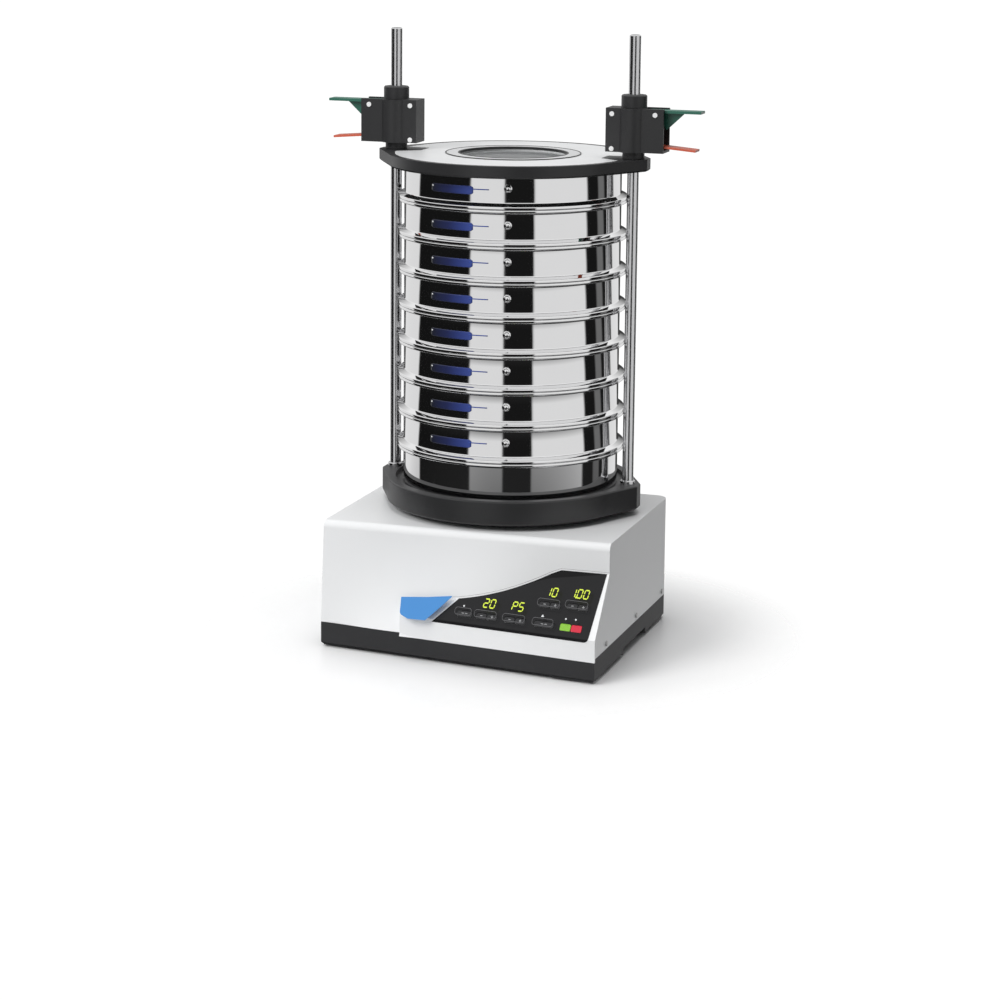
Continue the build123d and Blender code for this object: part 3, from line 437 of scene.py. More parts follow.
finish_of("sieve_steel", (0.78, 0.78, 0.785), spun, turned(1200.0, 0.045, 0.04), mottle=0.02,
          shader_values=METAL)
finish_of("rod_chrome", (0.62, 0.62, 0.63), grain, grained(200.0, 0.20, wander=0.05), mottle=0.03,
          shader_values=METAL)
finish_of("lid_silver", (0.80, 0.805, 0.81), spun, turned(900.0, 0.38, 0.10), mottle=0.03,
          shader_values={"Metallic": 0.35})
finish_of("screw_steel", (0.46, 0.46, 0.46), grain, grained(900.0, 0.32), mottle=0.1, shader_values=METAL)
finish_of("pin_white", (0.86, 0.86, 0.86), grain, grained(900.0, 0.30), mottle=0.05,
          shader_values={"Metallic": 0.2})
finish_of("spring_steel", (0.34, 0.34, 0.35), brushed,
          {"Stretch": (8.0, 8.0, 1.0), "Line Scale": 90.0, "Roughness": 0.32, "Spread": 0.2}, mottle=0.15,
          shader_values=METAL)
finish_of("core_steel", (0.26, 0.26, 0.27), brushed,
          {"Stretch": (1.0, 26.0, 1.0), "Line Scale": 60.0, "Roughness": 0.42, "Spread": 0.2}, depth=0.0002,
          mottle=0.3, shader_values=METAL)
finish_of("coil_copper", (0.52, 0.17, 0.05), brushed,
          {"Stretch": (1.0, 1.0, 22.0), "Line Scale": 40.0, "Roughness": 0.3, "Spread": 0.1}, depth=0.0006,
          mottle=0.25, shader_values=METAL)
finish_of("window_clear", (0.56, 0.575, 0.58), grain, grained(300.0, 0.06, wander=0.03), mottle=0.02,
          shader_values={"Transmission Weight": 0.5, "IOR": 1.49})
print("finishes", len(finishes))

# %% [markdown]
# Each solid takes the finish that its material slot in the record names, so solids and record always agree.

# %% Dress the solids
slot_of = {row["node"]: row["material_slot"] for row in frame["record"]["subparts"]}
for name, solid in nodes.items():
    solid.data.materials.clear()
    solid.data.materials.append(finishes[slot_of[name]])
floor_finish = finish_of("floor_pale", (0.92, 0.92, 0.92), grain, grained(40.0, 0.30), mottle=0.004)
floor_tree = floor_finish.node_tree
from_middle = node_of(floor_tree, "VectorMath", {0: object_place(floor_tree)}, operation="LENGTH")
fade = map_range(floor_tree, from_middle.outputs["Value"], FLOOR_FADE_START, FLOOR_FADE_END, 1.0, 0.0,
                 interpolation_type="SMOOTHSTEP")
floor_tree.links.new(fade, floor_tree.nodes["Principled BSDF"].inputs["Alpha"])
floor.data.materials.append(floor_finish)

# %% [markdown]
# The sieves and the pan are spun from sheet. On a mirror the flat strips of a plain solid show at once, so each
# frame is worked out again as a smooth surface: a closed outline of radius and height, with its corners rounded
# by arcs, carried round the stack's axis.

# %% Outlines with round corners, spun round an axis


def rounded_outline(corners, radii, steps=6):
    """A closed outline through corners (n x 2) with each corner turned by an arc of the given radius. The arc
    starts and ends at radius times the tangent of half the turn from the corner, and its points are the corner
    circle's, spaced evenly by angle. A corner of radius nothing stays one repeated point."""
    corners, radii = np.asarray(corners, float), np.asarray(radii, float)
    arriving = corners - np.roll(corners, 1, axis=0)
    leaving = np.roll(corners, -1, axis=0) - corners
    arriving /= np.linalg.norm(arriving, axis=1, keepdims=True)
    leaving /= np.linalg.norm(leaving, axis=1, keepdims=True)
    cross = arriving[:, 0] * leaving[:, 1] - arriving[:, 1] * leaving[:, 0]
    turn_angle = np.arctan2(cross, (arriving * leaving).sum(1))
    setback = radii * np.tan(np.abs(turn_angle) / 2)
    side = np.sign(turn_angle)[:, None]
    inward = np.stack([-arriving[:, 1], arriving[:, 0]], axis=1) * side
    centre = corners - arriving * setback[:, None] + inward * radii[:, None]
    share = np.linspace(0, 1, steps)[None, :, None]
    swing = turn_angle[:, None, None] * share
    spoke = -inward[:, None, :]
    turned_spoke = np.concatenate([spoke[..., :1] * np.cos(swing) - spoke[..., 1:] * np.sin(swing),
                                   spoke[..., :1] * np.sin(swing) + spoke[..., 1:] * np.cos(swing)], axis=-1)
    return (centre[:, None, :] + radii[:, None, None] * turned_spoke).reshape(-1, 2)


def spin(outline, segments):
    """Each outline point (radius, height) goes round the stack's axis: x and y are the axis's own plus the
    radius times the cosine and sine of the turn."""
    turn_angles = np.linspace(0, math.tau, segments, endpoint=False)
    radius, height = outline[:, 0][:, None], outline[:, 1][:, None]
    return np.stack([STACK_X + radius * np.cos(turn_angles), STACK_Y + radius * np.sin(turn_angles),
                     height + 0 * turn_angles], axis=-1)


def spun_piece(name, outline, finish, segments=192):
    """A closed ring of surface. Merging the points that fall together and turning the faces outwards leaves a
    clean shell."""
    mesh = grid_mesh(name, spin(outline, segments), close_u=True, close_v=True)
    tidy_mesh(mesh)
    mesh.materials.append(finishes[finish])
    return place_mesh(name, mesh)


def ring_corners(inner, outer, foot, crown):
    return [(inner, foot), (outer, foot), (outer, crown), (inner, crown)]


# %% [markdown]
# Three repairs are shared by all new surfaces: points that fall together are merged, faces that this leaves
# without area go, and the rest are turned outwards. Bmesh does all three on the finished mesh.

# %% Mesh repairs
MERGE = 1e-6


def tidy_mesh(mesh):
    work = bmesh.new()
    work.from_mesh(mesh)
    bmesh.ops.remove_doubles(work, verts=work.verts, dist=MERGE)
    bmesh.ops.dissolve_degenerate(work, edges=work.edges, dist=MERGE)
    bmesh.ops.recalc_face_normals(work, faces=work.faces)
    work.to_mesh(mesh)
    work.free()
    mesh.update()


# %% [markdown]
# A test sieve is one spun sheet: a bead that rests on the sieve below, a straight wall, a rolled rim above, and
# a skirt under the bead that centres it. The sizes are those of the 300 mm class, and the heights follow each
# solid's own box, because the rim's top and the skirt's foot are its highest and lowest points.

# %% Sieve frames
WALL = 1.2 * MM
BORE = RIM_RADIUS - 10.0 * MM
SKIRT_DEPTH, SKIRT_RADIUS = 9.0 * MM, BORE - 0.3 * MM
BEAD_HEIGHT, BEAD_SIDE, RIM_HEIGHT = 8.5 * MM, 4.6 * MM, 4.5 * MM
LEDGE_DROP, SKIRT_DROP = 0.4 * MM, 1.2 * MM


def sieve_outline(foot, top):
    seat = foot + SKIRT_DEPTH
    neck = seat + BEAD_HEIGHT
    corners = [(SKIRT_RADIUS, foot), (SKIRT_RADIUS, seat), (RIM_RADIUS, seat), (RIM_RADIUS, seat + BEAD_SIDE),
               (BORE + WALL, neck), (BORE + WALL, top - RIM_HEIGHT), (RIM_RADIUS, top - RIM_HEIGHT),
               (RIM_RADIUS, top), (BORE, top), (BORE, neck - LEDGE_DROP),
               (SKIRT_RADIUS - WALL, neck - SKIRT_DROP), (SKIRT_RADIUS - WALL, foot)]
    radii = [0.3, 0.0, 1.6, 2.0, 2.2, 2.6, 1.6, 1.6, 0.8, 0.8, 0.3, 0.3]
    return rounded_outline(corners, np.array(radii) * MM)


for name in SIEVES:
    low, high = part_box(name)
    shell = spun_piece(name + "_frame", sieve_outline(low.z, high.z), "sieve_steel")
    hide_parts(name)
    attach(shell, name + "_body")
print("sieve frames", len(SIEVES), "triangles each", 2 * len(shell.data.polygons))

# %% [markdown]
# The pan is a plain cup with the same rim. Its outline runs up the outside, over the rim and back along the
# floor to the axis, where the first and last points close the middle.

# %% Receiving pan
AXIS_GAP = 0.2 * MM


def pan_outline(low, high):
    floor_top = low + WALL
    corners = [(AXIS_GAP, low), (BORE + WALL, low), (BORE + WALL, high - RIM_HEIGHT),
               (RIM_RADIUS, high - RIM_HEIGHT), (RIM_RADIUS, high), (BORE, high), (BORE, floor_top),
               (AXIS_GAP, floor_top)]
    return rounded_outline(corners, np.array([0, 3.0, 2.6, 1.6, 1.6, 0.8, 2.0, 0]) * MM)


low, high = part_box("receiving_pan")
pan = spun_piece("pan_cup", pan_outline(low.z, high.z), "sieve_steel")
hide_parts("receiving_pan")
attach(pan, "pan")

# %% [markdown]
# The window is sealed by a dark rubber gasket that stands in the ring's bore over the glass. A second dark ring,
# lying round the window ring's foot on the plate, is painted shadow: a dark band where the raised ring's shade
# falls on the pale lid. Both are small spun mouldings.

# %% Window gasket and painted shadow ring
# One dark finish serves the rubber gasket and the painted shadow ring.
finish_of("gasket_and_shadow_black", (0.016, 0.016, 0.017), grain, grained(900.0, 0.30), mottle=0.1)
ring_low, ring_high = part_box("window_ring")
RING_RADIUS = (ring_high.x - ring_low.x) / 2
SIGHT_RADIUS = RING_RADIUS - 17.9 * MM
PLATE_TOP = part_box("lid_plate")[1].z
# Inner and outer radius, foot and crown of each
GASKET_AND_SHADOW_RINGS = {
    "window_gasket": (SIGHT_RADIUS - 1.4 * MM, SIGHT_RADIUS + 1.6 * MM, PLATE_TOP - 2.2 * MM, ring_high.z + 0.6 * MM),
    # The ring round the window ring's foot is painted shadow, not rubber: a dark band for the raised ring's shade.
    "ring_gasket": (RING_RADIUS - 0.2 * MM, RING_RADIUS + 1.6 * MM, PLATE_TOP, PLATE_TOP + 1.4 * MM),
}
DARK_RING_ROUNDS = np.array([0.2, 0.2, 0.6, 0.6]) * MM
for name, extents in GASKET_AND_SHADOW_RINGS.items():
    dark_ring = spun_piece(name, rounded_outline(ring_corners(*extents), DARK_RING_ROUNDS), "gasket_and_shadow_black")
    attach(dark_ring, "lid")
print("gaskets", round(SIGHT_RADIUS, 4), round(RING_RADIUS, 4))

# %% [markdown]
# Woven mesh: two families of wires at right angles, each passing over one neighbour and under the next. A wire's
# height is the cosine of its place along the weave, with the sign changing from wire to wire. Only the two coarse
# meshes at the top are open enough to be seen as wires, and the rest are a sheet with a woven bump.

# %% Woven wires
WIRE_SIDES = 6
WIRE_END_GAP = 1.4 * MM


def tube_points(paths, radius, sides):
    """Tubes round many paths at once. Each path (wires x points x 3) runs mostly along one axis in a level
    plane, so a ring is its two cross directions, level and upright, times the cosine and sine of the angle."""
    along = np.gradient(paths, axis=1)
    along /= np.linalg.norm(along, axis=2, keepdims=True)
    level = np.cross(along, np.array([0.0, 0.0, 1.0]))
    level /= np.linalg.norm(level, axis=2, keepdims=True)
    upright = np.cross(level, along)
    angle = np.linspace(0, math.tau, sides, endpoint=False)[None, None, :, None]
    return (paths[:, :, None, :] + radius * (level[:, :, None, :] * np.cos(angle)
                                             + upright[:, :, None, :] * np.sin(angle)))


def tubes_mesh(name, rings):
    """One mesh from rings (wires x points x sides x 3), with a closed cap at both ends of each wire."""
    wires, points, sides = rings.shape[:3]
    index = np.arange(wires * points * sides).reshape(wires, points, sides)
    here, beyond = index[:, :-1], index[:, 1:]
    quads = np.stack([here, np.roll(here, -1, axis=2), np.roll(beyond, -1, axis=2), beyond], axis=-1)
    caps = np.concatenate([index[:, 0, ::-1], index[:, -1]])
    mesh = bpy.data.meshes.new(name)
    mesh.from_pydata(rings.reshape(-1, 3).tolist(), [], quads.reshape(-1, 4).tolist() + caps.tolist())
    mesh.polygons.foreach_set("use_smooth", np.full(len(mesh.polygons), True))
    mesh.update()
    return mesh


def weave(name, pitch, wire, height):
    """Wires of one weave, cut to the sieve's round. Wire k of a family lies at k pitches from the middle, and
    its points rise and fall by half a wire as the cosine of half a turn for each pitch, opposite on odd wires."""
    reach = BORE - WIRE_END_GAP
    count = int(reach / pitch)
    across = np.arange(-count, count + 1) * pitch
    half_length = np.sqrt(reach ** 2 - across ** 2)
    steps = np.linspace(-1, 1, 4 * count + 1)
    along = half_length[:, None] * steps[None, :]
    sign = np.where(np.arange(len(across)) % 2, 1.0, -1.0)[:, None]
    rise = sign * np.cos(math.pi * along / pitch) * wire * 0.5
    level = across[:, None] + 0 * along
    first = np.stack([STACK_X + along, STACK_Y + level, height + rise], axis=-1)
    second = np.stack([STACK_X + level, STACK_Y + along, height - rise], axis=-1)
    rings = tube_points(np.concatenate([first, second]), wire / 2, WIRE_SIDES)
    mesh = tubes_mesh(name, rings)
    mesh.materials.append(finishes["mesh_wire"])
    return place_mesh(name, mesh)


finish_of("mesh_wire", (0.50, 0.50, 0.51), grain, grained(900.0, 0.28), mottle=0.1, shader_values=METAL)
COARSE = {"sieve_1": (8.0 * MM, 1.7 * MM), "sieve_2": (6.0 * MM, 1.4 * MM)}
for name, (pitch, wire) in COARSE.items():
    mesh_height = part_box(name)[0].z + SKIRT_DEPTH + BEAD_HEIGHT - 1.5 * wire
    wires = weave(name + "_mesh", pitch, wire, mesh_height)
    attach(wires, name + "_body")
    print(name, "mesh triangles", 2 * len(wires.data.polygons))

# %% [markdown]
# The finer meshes are sheets. The larger of two waves at right angles gives the basket of the weave as bump, and
# the same basket darkens the open spaces between the wires into darker dots: painted shade for the dark seen
# through them.

# %% Fine mesh sheets
SHEET_REACH, SHEET_DROP, SHEET_THICKNESS = SKIRT_RADIUS - 0.3 * MM, 0.8 * MM, 0.6 * MM
woven, given = new_group("woven sheet", {"Pitch": 0.002, "Roughness": 0.3})
parts = parts_of(woven, object_place(woven))
waves = []
for axis in "XY":
    angle = math_node(woven, "MULTIPLY", math_node(woven, "DIVIDE", parts[axis], given["Pitch"]), math.tau)
    waves.append(math_node(woven, "MULTIPLY_ADD", math_node(woven, "SINE", angle), 0.5, 0.5))
weave_and_painted_shade = math_node(woven, "MAXIMUM", *waves)
# As mottle, the basket darkens the openings between the wires: painted shade.
put_out(woven, weave_and_painted_shade, math_node(woven, "ADD", given["Roughness"], 0.0), weave_and_painted_shade)
FINE_PITCHES = (4.0, 2.8, 2.0, 1.4, 1.0, 0.8)
for name, pitch in zip(SIEVES[2:], FINE_PITCHES):
    finish_of(name + "_weave", (0.34, 0.34, 0.35), woven, {"Pitch": pitch * MM, "Roughness": 0.32},
              depth=0.3 * pitch * MM, mottle=0.8, shader_values=METAL)
    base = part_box(name)[0].z + SKIRT_DEPTH + BEAD_HEIGHT - SHEET_DROP
    corners = ring_corners(AXIS_GAP, SHEET_REACH, base, base + SHEET_THICKNESS)
    sheet = spun_piece(name + "_mesh", rounded_outline(corners, np.zeros(4), steps=1), name + "_weave", segments=96)
    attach(sheet, name + "_body")

# %% [markdown]
# Each sieve carries a bare identity plate, let into the wall's curve, and a round-headed stud to the right of it.
# The plate is a patch of a cylinder just outside the wall: its two parameters are the angle round the axis and
# the height. A thin printed line runs on from it, and a small bright dot marks its left end.

# %% Plates and lines on the wall
WALL_RADIUS = BORE + WALL
PLATE_DARK, PLATE_MIDDLE, PLATE_BLUE = (0.012, 0.013, 0.018, 1), (0.016, 0.022, 0.085, 1), (0.035, 0.065, 0.30, 1)
PLATE_MIDDLE_PLACE = 0.45


def wall_patch(name, first, last, low, high, proud, finish, corner=0.0, columns=25, rows=9):
    """A thin curved plate on the wall, from angle first to last (degrees) and height low to high. A point's
    radius is the wall's plus proud, and the corners are drawn in along a quarter circle."""
    share_u = np.linspace(0, 1, columns)[None, :]
    share_v = np.linspace(-1, 1, rows)[:, None]
    half = (high - low) / 2
    length = WALL_RADIUS * math.radians(last - first)
    from_end = np.minimum(share_u, 1 - share_u) * length
    inside = np.clip(from_end / corner, 0, 1) if corner else np.ones_like(from_end)
    taper = half - corner * (1 - np.sqrt(1 - (1 - inside) ** 2))
    height = (low + high) / 2 + share_v * taper
    angle = np.radians(first + (last - first) * share_u) + 0 * share_v
    outer = np.stack([STACK_X + (WALL_RADIUS + proud) * np.cos(angle),
                      STACK_Y + (WALL_RADIUS + proud) * np.sin(angle), height], axis=-1)
    mesh = grid_mesh(name, outer)
    mesh.materials.append(finishes[finish])
    piece = place_mesh(name, mesh)
    wall = piece.modifiers.new("thickness", "SOLIDIFY")
    wall.thickness = proud * 1.2
    wall.offset = -1
    return piece


def along_plate(name, first, last):
    """A finish that runs from one colour to another round the axis: the angle of the point about the stack
    goes through a ramp."""
    tree = finish_of(name, PLATE_DARK[:3], grain, grained(800.0, 0.3)).node_tree
    parts = parts_of(tree, object_place(tree))
    x, y = math_node(tree, "SUBTRACT", parts["X"], STACK_X), math_node(tree, "SUBTRACT", parts["Y"], STACK_Y)
    share = map_range(tree, math_node(tree, "ARCTAN2", y, x), math.radians(first), math.radians(last))
    shade = node_of(tree, "ValToRGB", {0: share})
    elements = shade.color_ramp.elements
    elements[0].color, elements[1].color = PLATE_DARK, PLATE_BLUE
    elements.new(PLATE_MIDDLE_PLACE).color = PLATE_MIDDLE
    tree.links.new(shade.outputs["Color"], tree.nodes["Principled BSDF"].inputs["Base Color"])


PLATE_FIRST, PLATE_LAST, LINE_LAST = -119.0, -93.0, -84.6
PLATE_LOW, PLATE_HIGH = 19.5 * MM, 31.0 * MM
LINE_LOW, LINE_HIGH = 26.2 * MM, 27.6 * MM
DOT_LOW, DOT_HIGH = 26.6 * MM, 28.8 * MM
along_plate("plate_blue", PLATE_FIRST, PLATE_LAST)
finish_of("line_blue", (0.03, 0.07, 0.34), grain, grained(800.0, 0.3))
finish_of("dot_white", (0.80, 0.81, 0.82), grain, grained(800.0, 0.3))
for name in SIEVES:
    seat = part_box(name)[0].z + SKIRT_DEPTH
    plate = wall_patch(name + "_plate", PLATE_FIRST, PLATE_LAST, seat + PLATE_LOW, seat + PLATE_HIGH, 0.3 * MM,
                       "plate_blue", corner=2.0 * MM)
    line = wall_patch(name + "_line", PLATE_LAST - 2, LINE_LAST, seat + LINE_LOW, seat + LINE_HIGH, 0.4 * MM,
                      "line_blue", columns=9, rows=2)
    dot = wall_patch(name + "_dot", PLATE_FIRST + 0.6, PLATE_FIRST + 1.5, seat + DOT_LOW, seat + DOT_HIGH,
                     0.5 * MM, "dot_white", corner=1.0 * MM, columns=9, rows=3)
    for piece in (plate, line, dot):
        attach(piece, name + "_body")

# %% [markdown]
# The stud is turned: a flange against the wall and a domed head. Its outline of radius and reach is spun round
# an axis that points straight out of the wall.

# %% Studs
STUD_ANGLE, STUD_HEIGHT = math.radians(-74.8), 29.0 * MM
STUD_OUTLINE = np.array([(0.01, -1.0), (5.6, -1.0), (5.6, 1.2), (5.0, 1.6), (4.2, 1.7), (3.9, 2.6), (3.1, 3.5),
                         (1.7, 4.1), (0.01, 4.3)]) * MM


def outward_spin(outline, centre, angle, segments=40):
    """The outline's reach goes along the outward direction, and its radius round it, in the plane of the
    upright and the level tangent."""
    outward = np.array([math.cos(angle), math.sin(angle), 0.0])
    tangent = np.array([-math.sin(angle), math.cos(angle), 0.0])
    upright = np.array([0.0, 0.0, 1.0])
    swing = np.linspace(0, math.tau, segments, endpoint=False)[None, :, None]
    radius, reach = outline[:, 0][:, None, None], outline[:, 1][:, None, None]
    return (np.asarray(centre) + reach * outward + radius * (np.cos(swing) * tangent + np.sin(swing) * upright))


for name in SIEVES:
    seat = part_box(name)[0].z + SKIRT_DEPTH
    foot = (STACK_X + WALL_RADIUS * math.cos(STUD_ANGLE), STACK_Y + WALL_RADIUS * math.sin(STUD_ANGLE),
            seat + STUD_HEIGHT)
    stud_mesh = grid_mesh(name + "_stud", outward_spin(STUD_OUTLINE, foot, STUD_ANGLE), close_v=True)
    tidy_mesh(stud_mesh)
    stud_mesh.materials.append(finishes["sieve_steel"])
    stud = place_mesh(name + "_stud", stud_mesh)
    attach(stud, name + "_body")
print("plates, lines, dots and studs on", len(SIEVES), "sieves")

# %% [markdown]
# The console is a plane that leans back and turns a little to the right. Its printing is placed by x and z as
# seen from the front, and a helper drops each point on the plane and lifts it along the plane's normal. The
# normal comes from three corners of the console, which stand where the part's own sizes put them.

# %% The console's plane
# The console's lip runs over the tray's front line, and its right end rises to the bezel's upper corner
HOOD_LEFT_X, HOOD_RIGHT_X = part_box("base_tray")[0].x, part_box("base_tray")[1].x
LIP_Z, CREST_Z = 62.0 * MM, 138.0 * MM
LOW_RIGHT = np.array([HOOD_RIGHT_X, -217.5 * MM, LIP_Z])
LOW_LEFT = np.array([HOOD_LEFT_X, -161.5 * MM, LIP_Z])
HIGH_RIGHT = np.array([HOOD_RIGHT_X, -149.5 * MM, CREST_Z])
normal = np.cross(LOW_RIGHT - LOW_LEFT, HIGH_RIGHT - LOW_LEFT)
normal /= np.linalg.norm(normal)


def height_over_console(node):
    """How far a solid's outermost corner stands over the plane, along its normal."""
    return float(((corners_of(node) - LOW_RIGHT) @ normal).max())


def on_console(flat, lift):
    """Points (x, z) seen from the front, as x, y, z on the plane and lifted off it: y is what the plane's
    equation gives for that x and z."""
    flat = np.asarray(flat, float)
    x, z = flat[..., 0], flat[..., 1]
    y = LOW_RIGHT[1] - (normal[0] * (x - LOW_RIGHT[0]) + normal[2] * (z - LOW_RIGHT[2])) / normal[1]
    return np.stack([x, y, z], axis=-1) + lift * normal


FOIL_LIFT = height_over_console("keypad_foil")
BEZEL_LIFT = height_over_console("front_bezel")
print("console normal", normal.round(4), "foil", round(FOIL_LIFT * 1000, 2), "bezel", round(BEZEL_LIFT * 1000, 2))

# %% [markdown]
# Printed marks are thin prisms a fifth of a millimetre high: solid, so that they export as shapes, and low
# enough to look like ink. One function makes many at once from a stack of outlines with equal point counts.

# %% Printed marks
INK, INK_ROOT = 0.15 * MM, 0.05 * MM


def prisms(name, outlines, base, body, finish, thickness=INK):
    """Outlines (marks x points x 2) in x and z become prisms between two lifts over the console: a lid, a
    foot and a wall of quads."""
    outlines = np.asarray(outlines, float)
    marks, count = outlines.shape[:2]
    low, high = on_console(outlines, base - INK_ROOT), on_console(outlines, base + thickness)
    points = np.concatenate([low.reshape(-1, 3), high.reshape(-1, 3)])
    index = np.arange(marks * count).reshape(marks, count)
    top = index + marks * count
    walls = np.stack([index, np.roll(index, -1, axis=1), np.roll(top, -1, axis=1), top], axis=-1).reshape(-1, 4)
    mesh = bpy.data.meshes.new(name)
    mesh.from_pydata(points.tolist(), [], index[:, ::-1].tolist() + top.tolist() + walls.tolist())
    tidy_mesh(mesh)
    mesh.materials.append(finishes[finish])
    piece = place_mesh(name, mesh)
    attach(piece, body)


def rounded_box(centre, width, height, corner, steps=6):
    """A box with its corners turned by quarter circles, as a closed outline of x and z."""
    half = np.array([width, height]) / 2
    corners = np.array([(-1, -1), (1, -1), (1, 1), (-1, 1)]) * half + np.asarray(centre)
    return rounded_outline(corners, np.full(4, corner), steps)


finish_of("ink_grey", (0.11, 0.11, 0.115), grain, grained(900.0, 0.4))
finish_of("ink_dim", (0.34, 0.345, 0.35), grain, grained(900.0, 0.4))
finish_of("ink_white", (0.72, 0.73, 0.74), grain, grained(900.0, 0.4))
finish_of("label_blue", (0.055, 0.235, 0.56), grain, grained(900.0, 0.32), mottle=0.04)
finish_of("digit_glow", (0.30, 0.36, 0.02), grain, grained(900.0, 0.4),
          shader_values={"Emission Color": (0.66, 0.80, 0.08, 1), "Emission Strength": 0.75})

# %% [markdown]
# The blue label fills the bezel's left end. Its outline is a slanting four-sided patch with one cut corner and
# a top edge that follows the foil's curve. It is bare.

# %% Blue label
label_corners = np.array([(-89.5, 79.2), (-85.4, 60.0), (-72.0, 55.6), (-45.2, 56.4), (-12.6, 88.0),
                          (-50.0, 83.0)]) * MM
label_outline = rounded_outline(label_corners, np.array([0.4, 5.0, 5.0, 1.0, 0.8, 30.0]) * MM, steps=8)
prisms("label_blue_plate", label_outline[None], BEZEL_LIFT, "base", "label_blue", thickness=0.25 * MM)

# %% [markdown]
# The four displays show numbers, one with a P before it. A digit is seven slim bars. Each bar is a six-cornered
# outline, placed by the middle of its segment and slanted with the digit: x moves right by a share of the height.

# %% Digits
DIGIT_HEIGHT, DIGIT_WIDTH, BAR, SLANT = 9.6 * MM, 6.4 * MM, 1.35 * MM, 0.16
SEGMENT_PLACES = {"a": (0, 1, 0), "b": (1, 0.5, 1), "c": (1, -0.5, 1), "d": (0, -1, 0), "e": (-1, -0.5, 1),
                  "f": (-1, 0.5, 1), "g": (0, 0, 0)}
DIGIT_BARS = {"0": "abcdef", "1": "bc", "2": "abged", "5": "afgcd", "P": "abefg"}


def bar_outline(place, centre):
    """One bar: a long hexagon along x or z, at (across, up) halves of the digit's size, then slanted."""
    across, up, upright = place
    half = (DIGIT_HEIGHT / 4 if upright else DIGIT_WIDTH / 2) - 0.25 * MM
    tip, thick = half - BAR / 2, BAR / 2
    shape = np.array([(-half, 0), (-tip, -thick), (tip, -thick), (half, 0), (tip, thick), (-tip, thick)])
    if upright:
        shape = shape[:, ::-1] * np.array([1, -1])
    shape = shape + np.array([across * DIGIT_WIDTH / 2, up * DIGIT_HEIGHT / 2])
    shape[:, 0] += SLANT * shape[:, 1]
    return shape + np.asarray(centre)


DISPLAYS = {"time": (43.6, 85.4, "20"), "program": (86.0, 86.2, "P5"), "interval": (130.0, 107.4, "10"),
            "amplitude": (171.0, 109.4, "100")}
DIGIT_STEP = 9.6 * MM
for name, (x, z, text) in DISPLAYS.items():
    bars = []
    for order, digit in enumerate(text):
        shift = (order - (len(text) - 1) / 2) * DIGIT_STEP
        bars += [bar_outline(SEGMENT_PLACES[bar], (x * MM + shift, z * MM)) for bar in DIGIT_BARS[digit]]
    prisms(name + "_digits", bars, FOIL_LIFT, "base", "digit_glow")
POINT_X, POINT_Z, POINT_SIZE = 166.3 * MM, 104.9 * MM, 1.9 * MM
point = rounded_box((POINT_X, POINT_Z), POINT_SIZE, POINT_SIZE, 0.5 * MM, steps=3)
prisms("amplitude_point", point[None], FOIL_LIFT, "base", "digit_glow")

# %% [markdown]
# Round each black key or pair of keys a thin grey line is printed, and each of them carries a plain sign: minus,
# plus, or two short bars. The line is the gap between two rounded boxes. The signs ride with their keys, so that
# they press too.

# %% Key lines and signs
LINE_WIDTH, LINE_GAP, LINE_ROUND = 0.5 * MM, 1.1 * MM, 0.42


def frame_line(name, keys):
    """A closed line round the keys' common box: quads between an outer and an inner rounded box."""
    boxes = [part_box(key) for key in keys]
    left, right = min(low.x for low, _ in boxes), max(high.x for _, high in boxes)
    down, up = min(low.z for low, _ in boxes), max(high.z for _, high in boxes)
    centre = ((left + right) / 2, (down + up) / 2)
    width, height = right - left + 2 * LINE_GAP, up - down + 2 * LINE_GAP
    corner = LINE_ROUND * height
    outer = rounded_box(centre, width, height, corner)
    inner = rounded_box(centre, width - 2 * LINE_WIDTH, height - 2 * LINE_WIDTH, corner - LINE_WIDTH)
    strips = np.stack([outer, np.roll(outer, -1, axis=0), np.roll(inner, -1, axis=0), inner], axis=1)
    prisms(name, strips, FOIL_LIFT, "base", "ink_grey", thickness=0.1 * MM)


def key_sign(key, shapes):
    """Bars (x, z, width, height in mm from the key's middle) printed on a key's own face."""
    centre = middle(key)
    outlines = [rounded_box((centre.x + x * MM, centre.z + z * MM), width * MM, height * MM, 0.2 * MM, steps=2)
                for x, z, width, height in shapes]
    prisms(key + "_sign", outlines, height_over_console(key), key + "_body", "ink_dim")


MINUS, PLUS_UPRIGHT = (0, 0, 3.4, 0.8), (0, 0, 0.9, 3.0)
for pair in ("time", "program", "interval", "amplitude"):
    frame_line(pair + "_line", [pair + "_minus_key", pair + "_plus_key"])
    key_sign(pair + "_minus_key", [MINUS])
    key_sign(pair + "_plus_key", [(-1.15, 0, 1.3, 0.8), (1.15, 0, 1.3, 0.8), PLUS_UPRIGHT])
for key in ("select_key", "recall_key"):
    frame_line(key + "_line", [key])
    key_sign(key, [(-2.6, 0, 3.6, 0.8), (2.6, 0, 3.6, 0.8)])

# %% [markdown]
# Small lamps and pointers: a dot over the first key, a triangle over the recall key, and a dot over each of the
# two coloured keys.

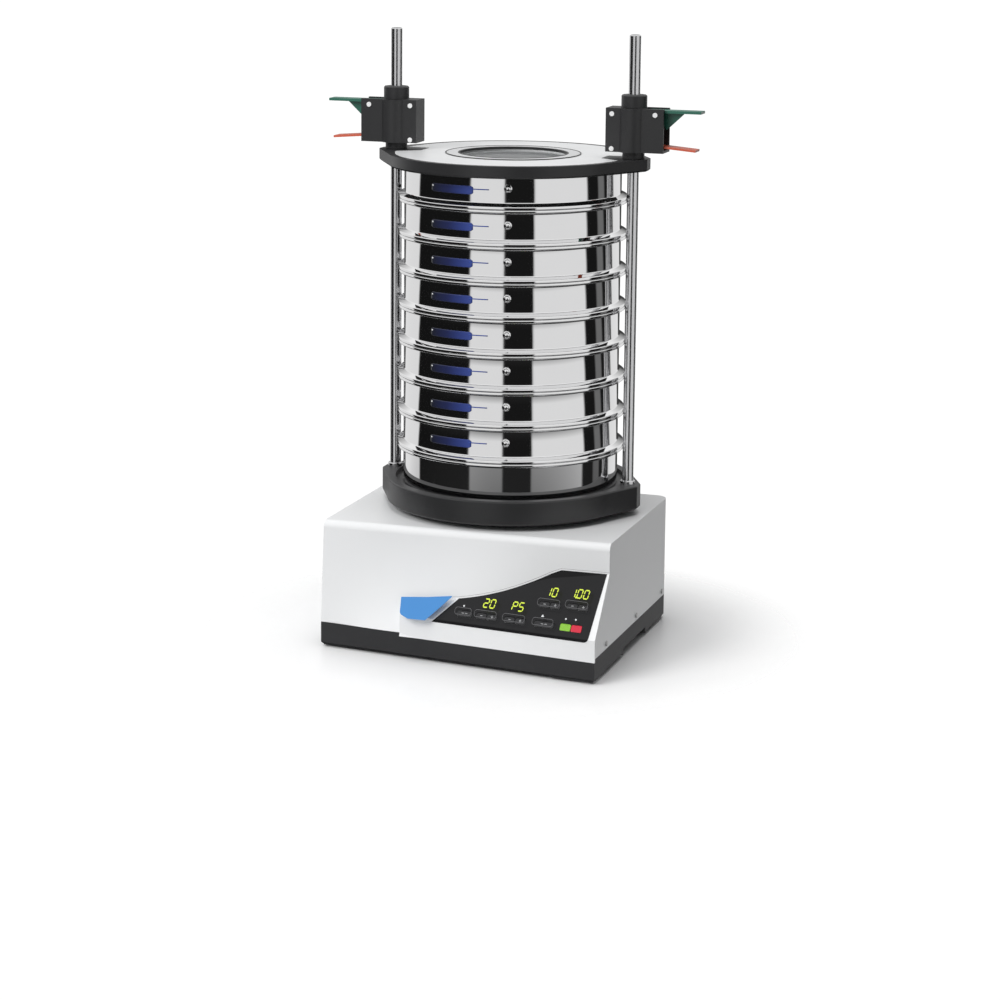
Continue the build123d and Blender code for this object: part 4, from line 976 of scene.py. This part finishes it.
# %% Lamps and pointers
# Places and sizes in millimetres. A lamp is round on the slanting foil, so from the front it is lower than wide.
LAMP_PLACES = ((6.8, 78.9), (159.0, 79.6), (173.4, 80.1))
LAMP_RADIUS, LAMP_FORESHORTENED = 1.3, 0.75
POINTER_PLACE, POINTER_CORNERS = (124.7, 79.6), ((-2.2, -1.3), (2.2, -1.3), (0, 1.7))
angles = np.linspace(0, math.tau, 20, endpoint=False)
circle = np.stack([np.cos(angles), np.sin(angles) * LAMP_FORESHORTENED], axis=-1)
dots = [circle * LAMP_RADIUS * MM + np.array(place) * MM for place in LAMP_PLACES]
prisms("lamp_dots", dots, FOIL_LIFT, "base", "ink_white")
triangle = np.array(POINTER_CORNERS) * MM + np.array(POINTER_PLACE) * MM
prisms("recall_pointer", triangle[None], FOIL_LIFT, "base", "ink_white")
print("console marks done")

# %% [markdown]
# The clamps' jam plates are held apart by coil springs round the rods. A coil is a helix: the angle grows evenly
# with the height, and flattens at both ends where the last turns are ground. A tube is carried along it.

# %% Coil springs
COIL_TURNS, COIL_POINTS, COIL_SIDES = 7, 260, 10
WIRE_SHARE, END_SHARE = 0.085, 0.045


def coil(name, node, body):
    low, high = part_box(node)
    centre, reach = (low + high) / 2, (high.x - low.x) / 2
    wire = reach * WIRE_SHARE
    radius = reach - wire
    share = np.linspace(0, 1, COIL_POINTS)
    eased = share - END_SHARE * np.sin(math.tau * share)
    turn_angle = share * COIL_TURNS * math.tau
    path = np.stack([centre.x + radius * np.cos(turn_angle), centre.y + radius * np.sin(turn_angle),
                     low.z + wire + eased * (high.z - low.z - 2 * wire)], axis=-1)
    mesh = tubes_mesh(name, tube_points(path[None], wire, COIL_SIDES))
    mesh.materials.append(finishes["spring_steel"])
    piece = place_mesh(name, mesh)
    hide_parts(node)
    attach(piece, body)
    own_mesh(piece)


for hand in ("left", "right"):
    coil(f"{hand}_clamp_coil", f"clamp_{hand}_spring", f"{hand}_clamp")
print("coils", COIL_TURNS, "turns each")
